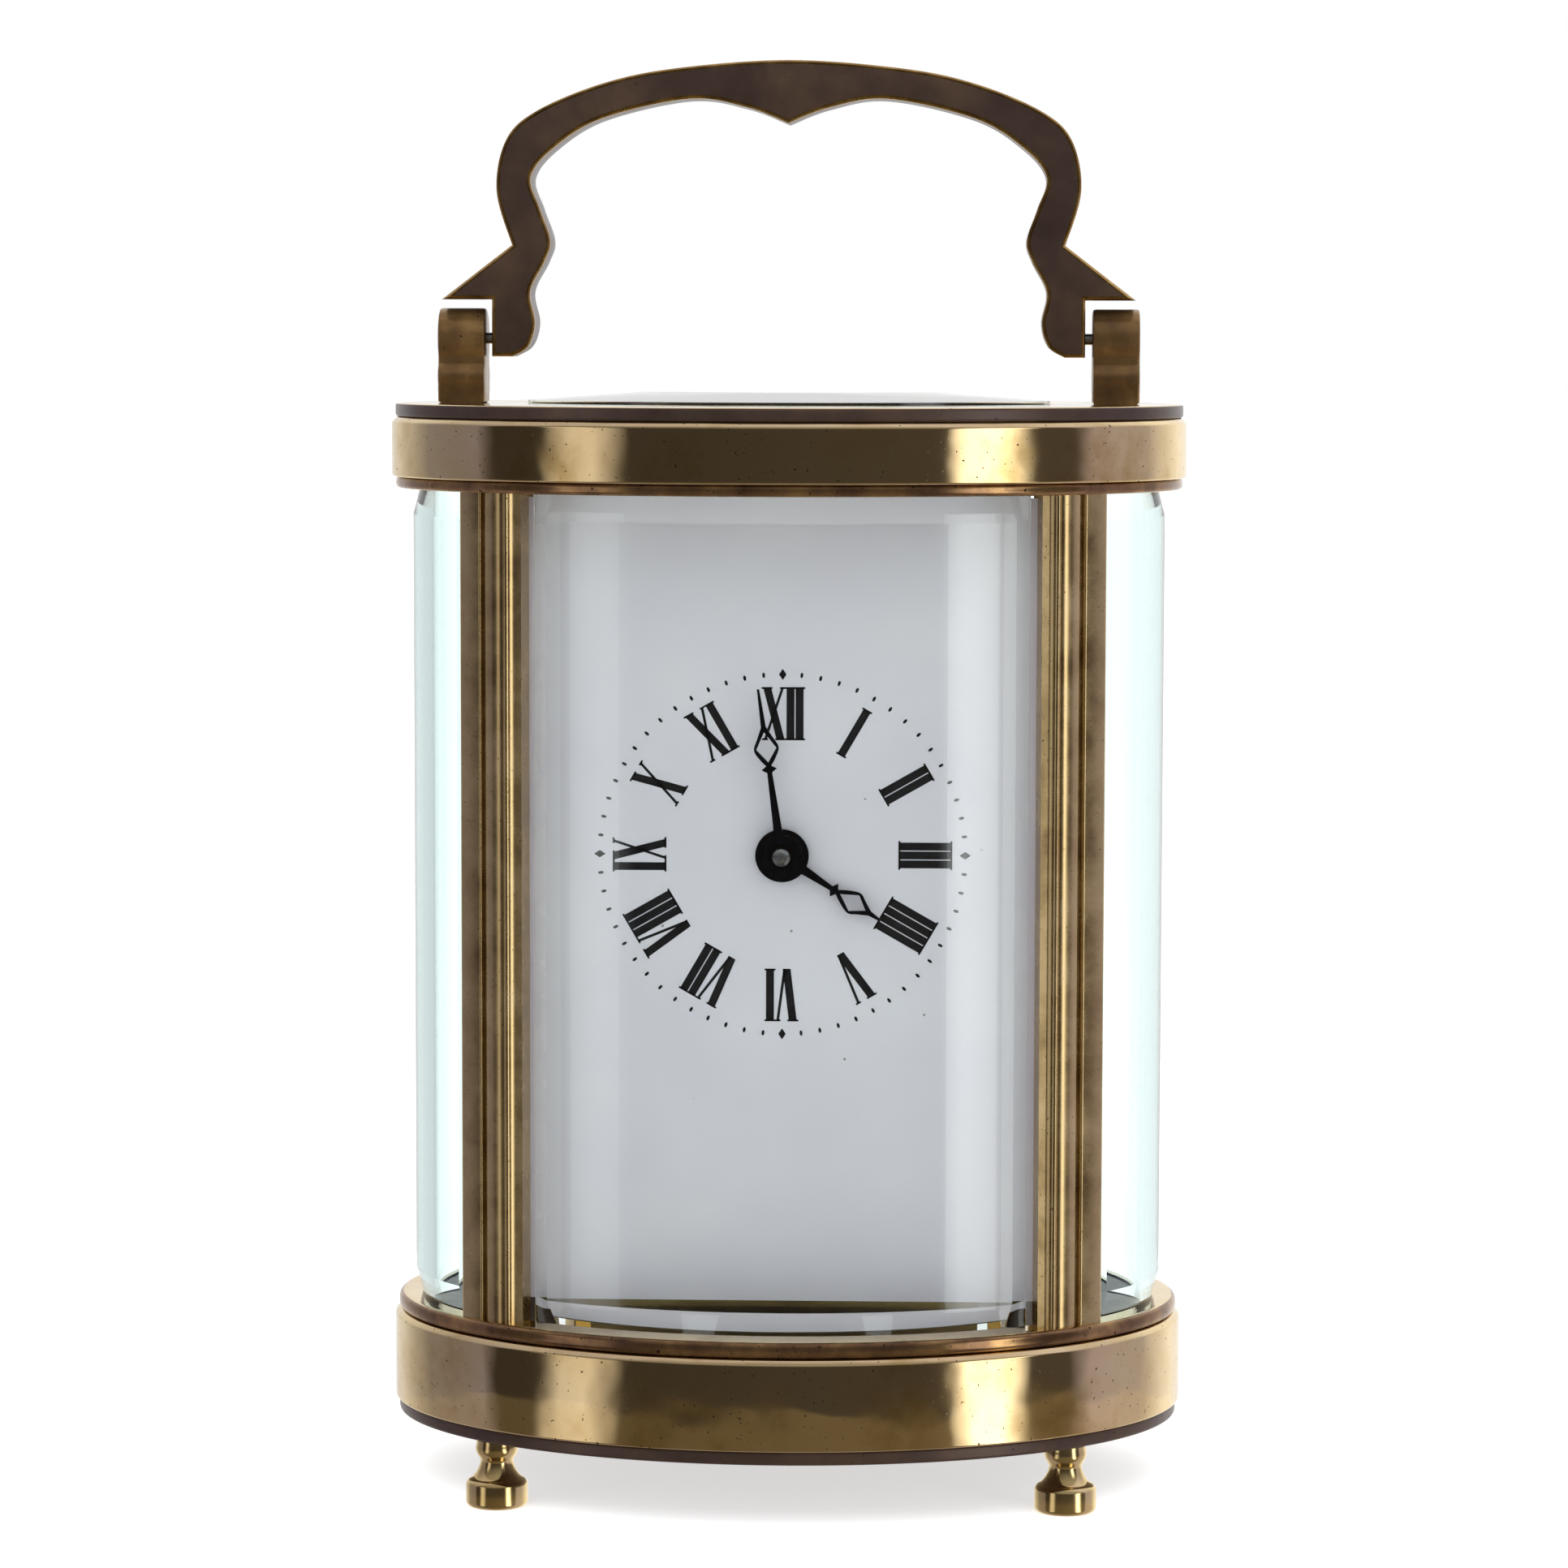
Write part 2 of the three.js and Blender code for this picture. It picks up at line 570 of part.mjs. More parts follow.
// A reeded column: its wide front laps over the glass edges, and its web stands between them
function column(name, sx, sy) {
  const edges = COLUMN_WIDTHS.reduce((list, width) => [...list, list.at(-1) - width], [COLUMN_HALF]);
  const sunk = COLUMN_PROUD - COLUMN_REED_DEPTH;
  const section = [
    [edges[0], COLUMN_PROUD],
    [edges[1], COLUMN_PROUD],
    [edges[1], sunk],
    ...reed(edges[2], edges[3]),
    ...reed(edges[4], edges[5]),
    [edges[5], COLUMN_PROUD - COLUMN_REED_DEPTH / 2],
    [edges[6], COLUMN_PROUD - COLUMN_REED_DEPTH / 2],
    [edges[6], COLUMN_FLANGE_GAP],
    [-COLUMN_WEB_HALF, COLUMN_FLANGE_GAP],
    [-COLUMN_WEB_HALF, -COLUMN_WEB_DEPTH],
    [COLUMN_WEB_HALF, -COLUMN_WEB_DEPTH],
    [COLUMN_WEB_HALF, COLUMN_FLANGE_GAP],
    [edges[0], COLUMN_FLANGE_GAP],
  ];
  const outline = section.map((point) => onColumn(...point).multiply(new THREE.Vector2(sx, sy)));
  place(name, drawn('z', outline, FLOOR_Z, TOP_LIP_Z), BRASS);
}

function glasses() {
  const edge = ovalAngle(COLUMN_WEB_HALF + SEAT_GAP, COLUMN_ANGLE, GLASS_INSET);
  const side = COLUMN_ANGLE - edge;
  const front = COLUMN_ANGLE + edge;
  const panels = [
    ['front_glass', -Math.PI + front, -front],
    ['right_glass', -side, side],
    ['left_glass', Math.PI - side, Math.PI + side],
  ];
  for (const [name, from, to] of panels) {
    const panel = curvedPanel(
      from, to, FLOOR_Z, TOP_LIP_Z, GLASS_INSET, GLASS_THICKNESS, GLASS_BEVEL, GLASS_BEVEL_DEPTH);
    place(name, panel, GLASS);
  }
}

function top() {
  const lip = caseOval([
    [PLATE_INSET + LIP_ROUND, TOP_LIP_Z],
    [PLATE_INSET, TOP_LIP_Z + LIP_ROUND],
    [PLATE_INSET, TOP_BAND_Z],
    [LIP_OPENING_INSET, TOP_BAND_Z],
    [LIP_OPENING_INSET, TOP_LIP_Z],
  ], true);
  place('top_lip_plate', lip.subtract(hingeRod(DOOR_PIN_HOLE, TOP_LIP_Z - CUT, TOP_BAND_Z + CUT)), BRASS);
  band('top_band', TOP_BAND_Z, TOP_BAND_HEIGHT, TOP_OPENING_INSET);
  const rim = [CASE_HALF_WIDTH - PLATE_INSET, CASE_HALF_DEPTH - PLATE_INSET];
  const opening = [TOP_GLASS_HALF_WIDTH + SEAT_GAP, TOP_GLASS_HALF_DEPTH + SEAT_GAP];
  place('top_plate', ovalLoft([
    [...rim, TOP_PLATE_Z],
    [...rim, ROOF_Z - EDGE_CHAMFER],
    [rim[0] - EDGE_CHAMFER, rim[1] - EDGE_CHAMFER, ROOF_Z],
    [...opening, ROOF_Z],
    [...opening, TOP_PLATE_Z],
  ], true), DARK_BRASS);
  const bevelled = [TOP_GLASS_HALF_WIDTH - TOP_GLASS_BEVEL, TOP_GLASS_HALF_DEPTH - TOP_GLASS_BEVEL];
  place('top_glass', ovalLoft([
    [TOP_GLASS_HALF_WIDTH, TOP_GLASS_HALF_DEPTH, TOP_PLATE_Z],
    [TOP_GLASS_HALF_WIDTH, TOP_GLASS_HALF_DEPTH, ROOF_Z + EDGE_CHAMFER],
    [...bevelled, ROOF_Z + TOP_GLASS_RISE],
  ], false), GLASS);
}

function pivotRod(radius, x0, x1) {
  return cylinder('x', radius, x0, x1, PIN_SIDES, 0, 0, PIVOT_Z);
}

// A lug: foot, bead, narrow stem and a round head about the handle's pivot
function lug(name, x0, x1) {
  const footHalf = (LUG_STEM_HALF + LUG_BEAD_HALF) / 2;
  const beadZ = ROOF_Z + LUG_FOOT_HEIGHT;
  const beadTop = beadZ + LUG_BEAD_HEIGHT;
  const swell = 2 * LUG_BEAD_HALF - footHalf;
  const neckAngle = Math.acos(LUG_STEM_HALF / LUG_HEAD_RADIUS);
  const outline = new THREE.Shape();
  outline.moveTo(-footHalf, ROOF_Z);
  outline.lineTo(footHalf, ROOF_Z);
  outline.lineTo(footHalf, beadZ);
  outline.quadraticCurveTo(swell, (beadZ + beadTop) / 2, LUG_STEM_HALF, beadTop);
  outline.absarc(0, PIVOT_Z, LUG_HEAD_RADIUS, -neckAngle, Math.PI + neckAngle, false);
  outline.lineTo(-LUG_STEM_HALF, beadTop);
  outline.quadraticCurveTo(-swell, (beadZ + beadTop) / 2, -footHalf, beadZ);
  const hole = pivotRod(HANDLE_PIN_RADIUS + SHAFT_CLEARANCE, x0 - CUT, x1 + CUT);
  place(name, drawn('x', outline, x0, x1, [], 6).subtract(hole), BRASS);
}

// The handle: its outer edge runs over the crown from wing to wing, and its inner edge from knob to knob
function handle() {
  const fromLug = (points) => points.map(([inset, rise]) => [LUG_X - inset, rise]);
  const side = (points, sx) => points.map(([x, rise]) => new THREE.Vector2(sx * x, PIVOT_Z + rise));
  const outer = [...fromLug([HANDLE_NOTCH, ...HANDLE_OUTER]), ...HANDLE_CROWN];
  const inner = [...HANDLE_CUSP, ...fromLug([...HANDLE_ARCH, ...HANDLE_KNOB])];
  const gapTop = [HANDLE_LUG_GAP, HANDLE_WING[1]];
  const gapBottom = [HANDLE_LUG_GAP, HANDLE_KNOB.at(-1)[1]];
  const shoulder = fromLug([HANDLE_WING, gapTop, gapBottom]);
  const [start, ...climb] = side(outer, 1);
  const outline = new THREE.Shape();
  outline.moveTo(start.x, start.y);
  outline.splineThru([...climb, ...side(outer.slice(0, -1), -1).reverse()]);
  side([...shoulder, inner.at(-1)], -1).forEach((p) => outline.lineTo(p.x, p.y));
  outline.splineThru(side(inner.slice(0, -1), -1).reverse());
  outline.splineThru(side(inner.slice(1), 1));
  side(shoulder, 1).reverse().forEach((p) => outline.lineTo(p.x, p.y));
  let piece = drawn('y', outline, -HANDLE_THICKNESS / 2, HANDLE_THICKNESS / 2, [], 2);
  const face = LUG_X - HANDLE_LUG_GAP;
  const pinEnds = [face - HANDLE_PIN_REACH, LUG_X + LUG_WIDTH - HANDLE_PIN_RADIUS];
  for (const [name, sx] of SIDES) {
    const span = (...ends) => ends.map((x) => sx * x).sort((a, b) => a - b);
    const hole = span(pinEnds[0] - SEAT_GAP, face + CUT);
    piece = piece.subtract(pivotRod(HANDLE_PIN_RADIUS + SHAFT_CLEARANCE, ...hole));
    lug(`handle_lug_${name}`, ...span(LUG_X, LUG_X + LUG_WIDTH));
    place(`handle_pin_${name}`, pivotRod(HANDLE_PIN_RADIUS, ...span(...pinEnds)), STEEL);
  }
  place('handle', piece, DARK_BRASS);
}

// The rear door: a curved frame on a round knuckle, glazed from the inside
function rearDoor() {
  const far = Math.PI - DOOR_END_ANGLE;
  const bottom = FLOOR_Z + SEAT_GAP;
  const upper = TOP_LIP_Z - SEAT_GAP;
  const rail = ovalAngle(DOOR_RAIL, DOOR_END_ANGLE, DOOR_INSET);
  const rebate = ovalAngle(DOOR_REBATE, DOOR_END_ANGLE, DOOR_INSET);
  const slack = ovalAngle(SEAT_GAP, DOOR_END_ANGLE, DOOR_INSET);
  const glassInset = DOOR_INSET + DOOR_THICKNESS - DOOR_GLASS_THICKNESS;
  const inside = (angle, rise) => [DOOR_END_ANGLE + angle, far - angle, bottom + rise, upper - rise];
  const frame = curvedPanel(DOOR_HINGE_ANGLE, far, bottom, upper, DOOR_INSET, DOOR_THICKNESS, 0, 0);
  const window = curvedPanel(...inside(rail, DOOR_RAIL), DOOR_INSET - CUT, DOOR_THICKNESS + 2 * CUT, 0, 0);
  const lap = DOOR_RAIL - DOOR_REBATE;
  const seat = curvedPanel(...inside(rail - rebate, lap), glassInset - SEAT_GAP, DOOR_THICKNESS, 0, 0);
  const inFrame = 3 * DOOR_PIN_REACH;
  const glazed = frame.subtract(window).subtract(seat).add(hingeRod(DOOR_KNUCKLE, bottom, upper));
  const lowerHole = hingeRod(DOOR_PIN_HOLE, bottom - CUT, bottom + inFrame);
  const upperHole = hingeRod(DOOR_PIN_HOLE, upper - inFrame, upper + CUT);
  place('door_frame', glazed.subtract(lowerHole).subtract(upperHole), BRASS);
  const pane = curvedPanel(
    ...inside(rail - rebate + slack, lap + SEAT_GAP), glassInset, DOOR_GLASS_THICKNESS, 0, 0);
  place('door_glass', pane, GLASS);
  const pinEnd = inFrame - DOOR_PIN_REACH;
  place('door_pin_lower', hingeRod(DOOR_PIN_RADIUS, bottom - DOOR_PIN_REACH, bottom + pinEnd), STEEL);
  place('door_pin_upper', hingeRod(DOOR_PIN_RADIUS, upper - pinEnd, upper + DOOR_PIN_REACH), STEEL);
  const knobAngle = far - rail / 2;
  const seatPoint = onOval(knobAngle, DOOR_INSET - SEAT_GAP, (bottom + upper) / 2);
  const facing = ovalOutward(knobAngle).angle();
  const neck = DOOR_KNOB_RADIUS / 2;
  const profile = [
    [0, 0], [neck, 0], [neck, DOOR_KNOB_LENGTH / 3], [DOOR_KNOB_RADIUS, DOOR_KNOB_LENGTH / 2],
    [DOOR_KNOB_RADIUS, DOOR_KNOB_LENGTH * 0.8], [neck, DOOR_KNOB_LENGTH], [0, DOOR_KNOB_LENGTH],
  ];
  const knob = new THREE.LatheGeometry(profile.map(([r, h]) => new THREE.Vector2(r, h)), 14);
  knob.rotateZ(facing - Math.PI / 2).translate(seatPoint.x, seatPoint.y, seatPoint.z);
  place('door_knob', body(knob), BRASS);
}

// Arbor places in the front view, each at the centre distance of the pair that it runs in
const degrees = THREE.MathUtils.degToRad;
const pairDistance = (wheelTeeth, pinionLeaves, module) => ((wheelTeeth + pinionLeaves) * module) / 2;
const CENTRE = new THREE.Vector2(0, FLOOR_Z + DIAL_CENTRE_RISE);
const INTERMEDIATE = CENTRE.clone().add(new THREE.Vector2(0, -1)
  .multiplyScalar(pairDistance(INTERMEDIATE_TEETH, CENTRE_PINION, INTERMEDIATE_MODULE))
  .rotateAround(new THREE.Vector2(), degrees(INTERMEDIATE_LEAN)));
const BARREL_DISTANCE = pairDistance(BARREL_TEETH, INTERMEDIATE_PINION, BARREL_MODULE);
const BARREL_DROP = Math.sqrt(BARREL_DISTANCE ** 2 - INTERMEDIATE.x ** 2);
const BARREL = new THREE.Vector2(0, INTERMEDIATE.y - BARREL_DROP);
const THIRD = CENTRE.clone().add(new THREE.Vector2(0, 1)
  .multiplyScalar(pairDistance(CENTRE_TEETH, THIRD_PINION, CENTRE_MODULE))
  .rotateAround(new THREE.Vector2(), degrees(THIRD_LEAN)));
const CONTRATE_DISTANCE = pairDistance(THIRD_TEETH, CONTRATE_PINION, THIRD_MODULE);
const CONTRATE_CLIMB = Math.sqrt(CONTRATE_DISTANCE ** 2 - THIRD.x ** 2);
const CONTRATE = new THREE.Vector2(0, THIRD.y + CONTRATE_CLIMB);
const CONTRATE_TOP_Z = CONTRATE.y + CONTRATE_RADIUS;
const PLATFORM_Z = CONTRATE_TOP_Z + CONTRATE_HEADROOM;
const PLATFORM_TOP_Z = PLATFORM_Z + PLATFORM_THICKNESS;
const MOTION_DISTANCE = pairDistance(MINUTE_WHEEL_TEETH, CANNON_LEAVES, MOTION_MODULE);
const HOUR_MODULE = (2 * MOTION_DISTANCE) / (HOUR_WHEEL_TEETH + MINUTE_PINION_LEAVES);
const MINUTE = CENTRE.clone().add(new THREE.Vector2(0, -MOTION_DISTANCE)
  .rotateAround(new THREE.Vector2(), -degrees(MOTION_LEAN)));
const FRONT_INNER_Y = FRONT_PLATE_Y + PLATE_THICKNESS;
const BACK_OUTER_Y = BACK_PLATE_Y + PLATE_THICKNESS;
const DIAL_BACK_Y = DIAL_FRONT_Y + DIAL_THICKNESS;
const HOUR_HAND_Y = DIAL_FRONT_Y - HAND_GAP - HAND_THICKNESS;
const MINUTE_HAND_Y = HOUR_HAND_Y - HAND_GAP - HAND_THICKNESS;
const RATCHET_Y = BACK_OUTER_Y + END_SHAKE;
const CLICK_PIVOT = BARREL.clone().add(new THREE.Vector2(CLICK_PIVOT_X, CLICK_PIVOT_RISE));
const ARBOR_FRONT_Y = MINUTE_HAND_Y - END_SHAKE;

function polar(centre, radius, angle) {
  return new THREE.Vector2(Math.cos(angle), Math.sin(angle)).multiplyScalar(radius).add(centre);
}

// The angle at which one arbor sees another: a wheel has a tooth there, and the pinion a space
function facing(from, to) {
  return to.clone().sub(from).angle();
}

function pinionPhase(wheelPlace, pinionPlace, leaves) {
  return facing(pinionPlace, wheelPlace) + Math.PI / leaves;
}

// Teeth as points on a circle, each [share of the half pitch, 0 for the root or 1 for the tip]
const WHEEL_TOOTH = [[-1, 0], [0, 1]];
const PINION_LEAF = [[-0.5, 0], [-0.22, 1], [0.22, 1], [0.5, 0]];
const TOOTH_TIP = 0.85;
const TOOTH_ROOT = 1.25;

function teethOutline(centre, teeth, module, phase, tooth) {
  const pitchRadius = (teeth * module) / 2;
  const radii = [pitchRadius - TOOTH_ROOT * module, pitchRadius + TOOTH_TIP * module];
  const half = Math.PI / teeth;
  return Array.from({ length: teeth }, (_, i) => tooth.map(([share, isTip]) => {
    return polar(centre, radii[isTip], phase + half * (2 * i + share));
  })).flat();
}

// The open sectors between a wheel's arms
function crossings(centre, inner, outer, armHalf, arms = 4) {
  const sector = (2 * Math.PI) / arms;
  return Array.from({ length: arms }, (_, k) => {
    const point = (radius, share) => {
      const slack = armHalf / radius;
      return polar(centre, radius, k * sector + THREE.MathUtils.lerp(slack, sector - slack, share));
    };
    const rim = [0, 1 / 3, 2 / 3, 1].map((share) => point(outer, share));
    return [...rim, point(inner, 1), point(inner, 0)];
  });
}

function wheel(centre, teeth, module, phase, y, thickness, hub) {
  const rim = (teeth * module) / 2 - TOOTH_ROOT * module - WHEEL_RIM;
  const outline = teethOutline(centre, teeth, module, phase, WHEEL_TOOTH);
  return drawn('y', outline, y, y + thickness, crossings(centre, hub, rim, WHEEL_ARM_HALF));
}

function pinion(centre, leaves, module, phase, y0, y1) {
  return drawn('y', teethOutline(centre, leaves, module, phase, PINION_LEAF), y0, y1);
}

// An arbor between the plates, with a pivot in each
function arbor(centre) {
  const front = FRONT_INNER_Y;
  const profile = [
    [0, front - PIVOT_LENGTH],
    [PIVOT_RADIUS, front - PIVOT_LENGTH],
    [PIVOT_RADIUS, front + END_SHAKE],
    [ARBOR_RADIUS, front + END_SHAKE],
    [ARBOR_RADIUS, BACK_PLATE_Y - END_SHAKE],
    [PIVOT_RADIUS, BACK_PLATE_Y - END_SHAKE],
    [PIVOT_RADIUS, BACK_PLATE_Y + PIVOT_LENGTH],
    [0, BACK_PLATE_Y + PIVOT_LENGTH],
  ];
  return turned('y', profile, 8, centre.x, 0, centre.y);
}

function rod(centre, radius, y0, y1, sides = 12) {
  return cylinder('y', radius, y0, y1, sides, centre.x, 0, centre.y);
}

function squareRod(centre, half, y0, y1) {
  const outline = rectangle(centre.x - half, centre.y - half, centre.x + half, centre.y + half);
  return drawn('y', outline, y0, y1);
}

function movementFrame() {
  const pivotBore = PIVOT_RADIUS + SHAFT_CLEARANCE;
  const pivotHoles = [INTERMEDIATE, THIRD, CONTRATE].map((p) => circle(p.x, p.y, pivotBore, 8));
  const centreHole = circle(CENTRE.x, CENTRE.y, ARBOR_RADIUS + SHAFT_CLEARANCE, 12);
  const barrelHole = circle(BARREL.x, BARREL.y, WINDING_PIVOT_RADIUS + SHAFT_CLEARANCE, 16);
  const holes = [...pivotHoles, centreHole, barrelHole];
  const outline = rectangle(-PLATE_HALF_WIDTH, FLOOR_Z, PLATE_HALF_WIDTH, PLATFORM_Z);
  const stud = rod(MINUTE, MINUTE_STUD_RADIUS, DIAL_BACK_Y + SEAT_GAP, FRONT_PLATE_Y + PLATE_THICKNESS / 2);
  const postRoot = BACK_OUTER_Y - PLATE_THICKNESS / 2;
  const post = rod(CLICK_PIVOT, MINUTE_STUD_RADIUS, postRoot, RATCHET_Y + RATCHET_THICKNESS);
  const front = drawn('y', outline, FRONT_PLATE_Y, FRONT_INNER_Y, holes);
  const back = drawn('y', outline, BACK_PLATE_Y, BACK_OUTER_Y, holes);
  place('movement_front_plate', front.add(stud), MOVEMENT_BRASS);
  place('movement_back_plate', back.add(post), MOVEMENT_BRASS);
  const collar = PLATE_THICKNESS;
  const profile = [
    [0, FRONT_INNER_Y],
    [PILLAR_COLLAR_RADIUS, FRONT_INNER_Y],
    [PILLAR_COLLAR_RADIUS, FRONT_INNER_Y + collar],
    [PILLAR_RADIUS, FRONT_INNER_Y + collar],
    [PILLAR_RADIUS, BACK_PLATE_Y - collar],
    [PILLAR_COLLAR_RADIUS, BACK_PLATE_Y - collar],
    [PILLAR_COLLAR_RADIUS, BACK_PLATE_Y],
    [0, BACK_PLATE_Y],
  ];
  const levels = [['lower', FLOOR_Z + PILLAR_END_RISE], ['upper', PLATFORM_Z - PILLAR_END_RISE]];
  for (const [side, sx] of SIDES) {
    for (const [level, z] of levels) {
      const pillar = turned('y', profile, 10, sx * PILLAR_X, 0, z);
      place(`movement_pillar_${level}_${side}`, pillar, MOVEMENT_BRASS);
    }
  }
}

function barrelAndWinding() {
  const wheelY = BARREL_Y + BARREL_LENGTH;
  const wheelEnd = wheelY + GREAT_WHEEL_THICKNESS;
  const toothAngle = facing(BARREL, INTERMEDIATE);
  const teeth = teethOutline(BARREL, BARREL_TEETH, BARREL_MODULE, toothAngle, WHEEL_TOOTH);
  const greatWheel = drawn('y', teeth, wheelY, wheelEnd);
  const drum = rod(BARREL, BARREL_RADIUS, BARREL_Y, (wheelY + wheelEnd) / 2, 32);
  const bore = rod(BARREL, BARREL_BORE_RADIUS, BARREL_Y - CUT, wheelEnd + CUT, 16);
  place('going_barrel', greatWheel.add(drum).subtract(bore), MOVEMENT_BRASS);
  const square = (grow, y0, y1) => squareRod(BARREL, WINDING_SQUARE / 2 + grow, y0, y1);
  const squareEnd = RATCHET_Y + RATCHET_THICKNESS + WINDING_SQUARE_LENGTH;
  place('winding_arbor', joined([
    rod(BARREL, WINDING_ARBOR_RADIUS, FRONT_INNER_Y + END_SHAKE, BACK_PLATE_Y - END_SHAKE),
    rod(BARREL, WINDING_PIVOT_RADIUS, FRONT_INNER_Y - PIVOT_LENGTH, RATCHET_Y),
    square(0, RATCHET_Y - END_SHAKE / 2, squareEnd),
  ]), STEEL);
  const saw = Array.from({ length: RATCHET_TEETH }, (_, i) => {
    const pitch = (2 * Math.PI) / RATCHET_TEETH;
    const root = polar(BARREL, RATCHET_RADIUS - RATCHET_TOOTH, i * pitch);
    return [root, polar(BARREL, RATCHET_RADIUS, (i + RATCHET_LEAN) * pitch)];
  }).flat();
  const ratchet = drawn('y', saw, RATCHET_Y, RATCHET_Y + RATCHET_THICKNESS);
  place('ratchet_wheel', ratchet.subtract(square(SHAFT_CLEARANCE, RATCHET_Y - CUT, squareEnd)), STEEL);
  click();
}

// The click reaches from its post to the ratchet's teeth, and a leaf spring stands over its boss
function click() {
  const end = RATCHET_Y + RATCHET_THICKNESS;
  const tipAngle = facing(BARREL, CLICK_PIVOT) + degrees(CLICK_REACH_ANGLE);
  const tip = polar(BARREL, RATCHET_RADIUS + CLICK_GAP, tipAngle);
  const tail = polar(BARREL, RATCHET_RADIUS + CLICK_GAP + CLICK_TAIL, tipAngle + degrees(CLICK_TAIL_ANGLE));
  const above = polar(CLICK_PIVOT, CLICK_BOSS, Math.PI / 2);
  const below = polar(CLICK_PIVOT, CLICK_BOSS, Math.PI * 1.2);
  const arm = drawn('y', [tip, below, CLICK_PIVOT.clone(), above, tail], RATCHET_Y, end);
  const bore = rod(CLICK_PIVOT, MINUTE_STUD_RADIUS + SHAFT_CLEARANCE, RATCHET_Y - CUT, end + CUT);
  place('click', arm.add(rod(CLICK_PIVOT, CLICK_BOSS, RATCHET_Y, end)).subtract(bore), STEEL);
  const tipX = CLICK_PIVOT.x + CLICK_BOSS + SEAT_GAP;
  const tipZ = CLICK_PIVOT.y - CLICK_LEAF;
  const bendZ = CLICK_PIVOT.y + CLICK_LEAF_LENGTH / 2;
  const footX = tipX + CLICK_LEAF_LEAN;
  const footZ = CLICK_PIVOT.y + CLICK_LEAF_LENGTH;
  const leaf = new THREE.Shape();
  leaf.moveTo(tipX, tipZ);
  leaf.quadraticCurveTo(tipX, bendZ, footX, footZ);
  leaf.lineTo(footX, footZ + CLICK_LEAF_FOOT);
  leaf.lineTo(footX + CLICK_LEAF_FOOT, footZ + CLICK_LEAF_FOOT);
  leaf.lineTo(footX + CLICK_LEAF_FOOT, footZ);
  leaf.lineTo(footX + CLICK_LEAF, footZ);
  leaf.quadraticCurveTo(tipX + CLICK_LEAF, bendZ, tipX + CLICK_LEAF, tipZ);
  place('click_spring', drawn('y', leaf, BACK_OUTER_Y, end), STEEL);
}

function train() {
  const greatY = BARREL_Y + BARREL_LENGTH;
  const meshing = (y, thickness) => [y - PINION_OVERLAP, y + thickness + PINION_OVERLAP];
  const plainWheel = (at, teeth, module, next, y) => {
    return wheel(at, teeth, module, facing(at, next), y, WHEEL_THICKNESS, WHEEL_HUB_RADIUS);
  };
  const drivenPinion = (at, leaves, module, driver, span) => {
    return pinion(at, leaves, module, pinionPhase(driver, at, leaves), ...span);
  };
  const greatSpan = meshing(greatY, GREAT_WHEEL_THICKNESS);
  place('intermediate_wheel', joined([
    arbor(INTERMEDIATE),
    plainWheel(INTERMEDIATE, INTERMEDIATE_TEETH, INTERMEDIATE_MODULE, CENTRE, INTERMEDIATE_WHEEL_Y),
    drivenPinion(INTERMEDIATE, INTERMEDIATE_PINION, BARREL_MODULE, BARREL, greatSpan),
  ]), MOVEMENT_BRASS);
  const intermediateSpan = meshing(INTERMEDIATE_WHEEL_Y, WHEEL_THICKNESS);
  const backEnd = BACK_OUTER_Y + END_SHAKE;
  place('centre_wheel', joined([
    rod(CENTRE, ARBOR_RADIUS, ARBOR_FRONT_Y, backEnd, 10),
    squareRod(CENTRE, SETTING_SQUARE / 2, BACK_OUTER_Y, backEnd + SETTING_SQUARE_LENGTH),
    plainWheel(CENTRE, CENTRE_TEETH, CENTRE_MODULE, THIRD, CENTRE_WHEEL_Y),
    drivenPinion(CENTRE, CENTRE_PINION, INTERMEDIATE_MODULE, INTERMEDIATE, intermediateSpan),
  ]), MOVEMENT_BRASS);
  place('third_wheel', joined([
    arbor(THIRD),
    plainWheel(THIRD, THIRD_TEETH, THIRD_MODULE, CONTRATE, THIRD_WHEEL_Y),
    drivenPinion(THIRD, THIRD_PINION, CENTRE_MODULE, CENTRE, meshing(CENTRE_WHEEL_Y, WHEEL_THICKNESS)),
  ]), MOVEMENT_BRASS);
  const disc = circle(CONTRATE.x, CONTRATE.y, CONTRATE_RADIUS, 24);
  const open = crossings(CONTRATE, WHEEL_HUB_RADIUS, CONTRATE_RADIUS - WHEEL_RIM, WHEEL_ARM_HALF);
  place('contrate_wheel', joined([
    arbor(CONTRATE),
    crown(),
    drawn('y', disc, CONTRATE_WHEEL_Y, CONTRATE_WHEEL_Y + WHEEL_THICKNESS, open),
    drivenPinion(CONTRATE, CONTRATE_PINION, THIRD_MODULE, THIRD, meshing(THIRD_WHEEL_Y, WHEEL_THICKNESS)),
  ]), MOVEMENT_BRASS);
}

// The contrate wheel's rim: a ring whose front edge is a wave of teeth, with one tooth at the top
function crown() {
  const count = 2 * CONTRATE_TEETH;
  const row = (radius, isFront) => Array.from({ length: count }, (_, i) => {
    const at = polar(CONTRATE, radius, Math.PI / 2 + (2 * Math.PI * i) / count);
    const tooth = i % 2 === 0 ? CONTRATE_TOOTH_HEIGHT : 0;
    return new THREE.Vector3(at.x, CONTRATE_WHEEL_Y + (isFront ? -tooth : WHEEL_THICKNESS), at.y);
  });
  const outer = CONTRATE_RADIUS + CONTRATE_RIM / 2;
  const inner = CONTRATE_RADIUS - CONTRATE_RIM / 2;
  const back = row(outer, false);
  return body(skin([back, row(outer, true), row(inner, true), row(inner, false), back], true));
}

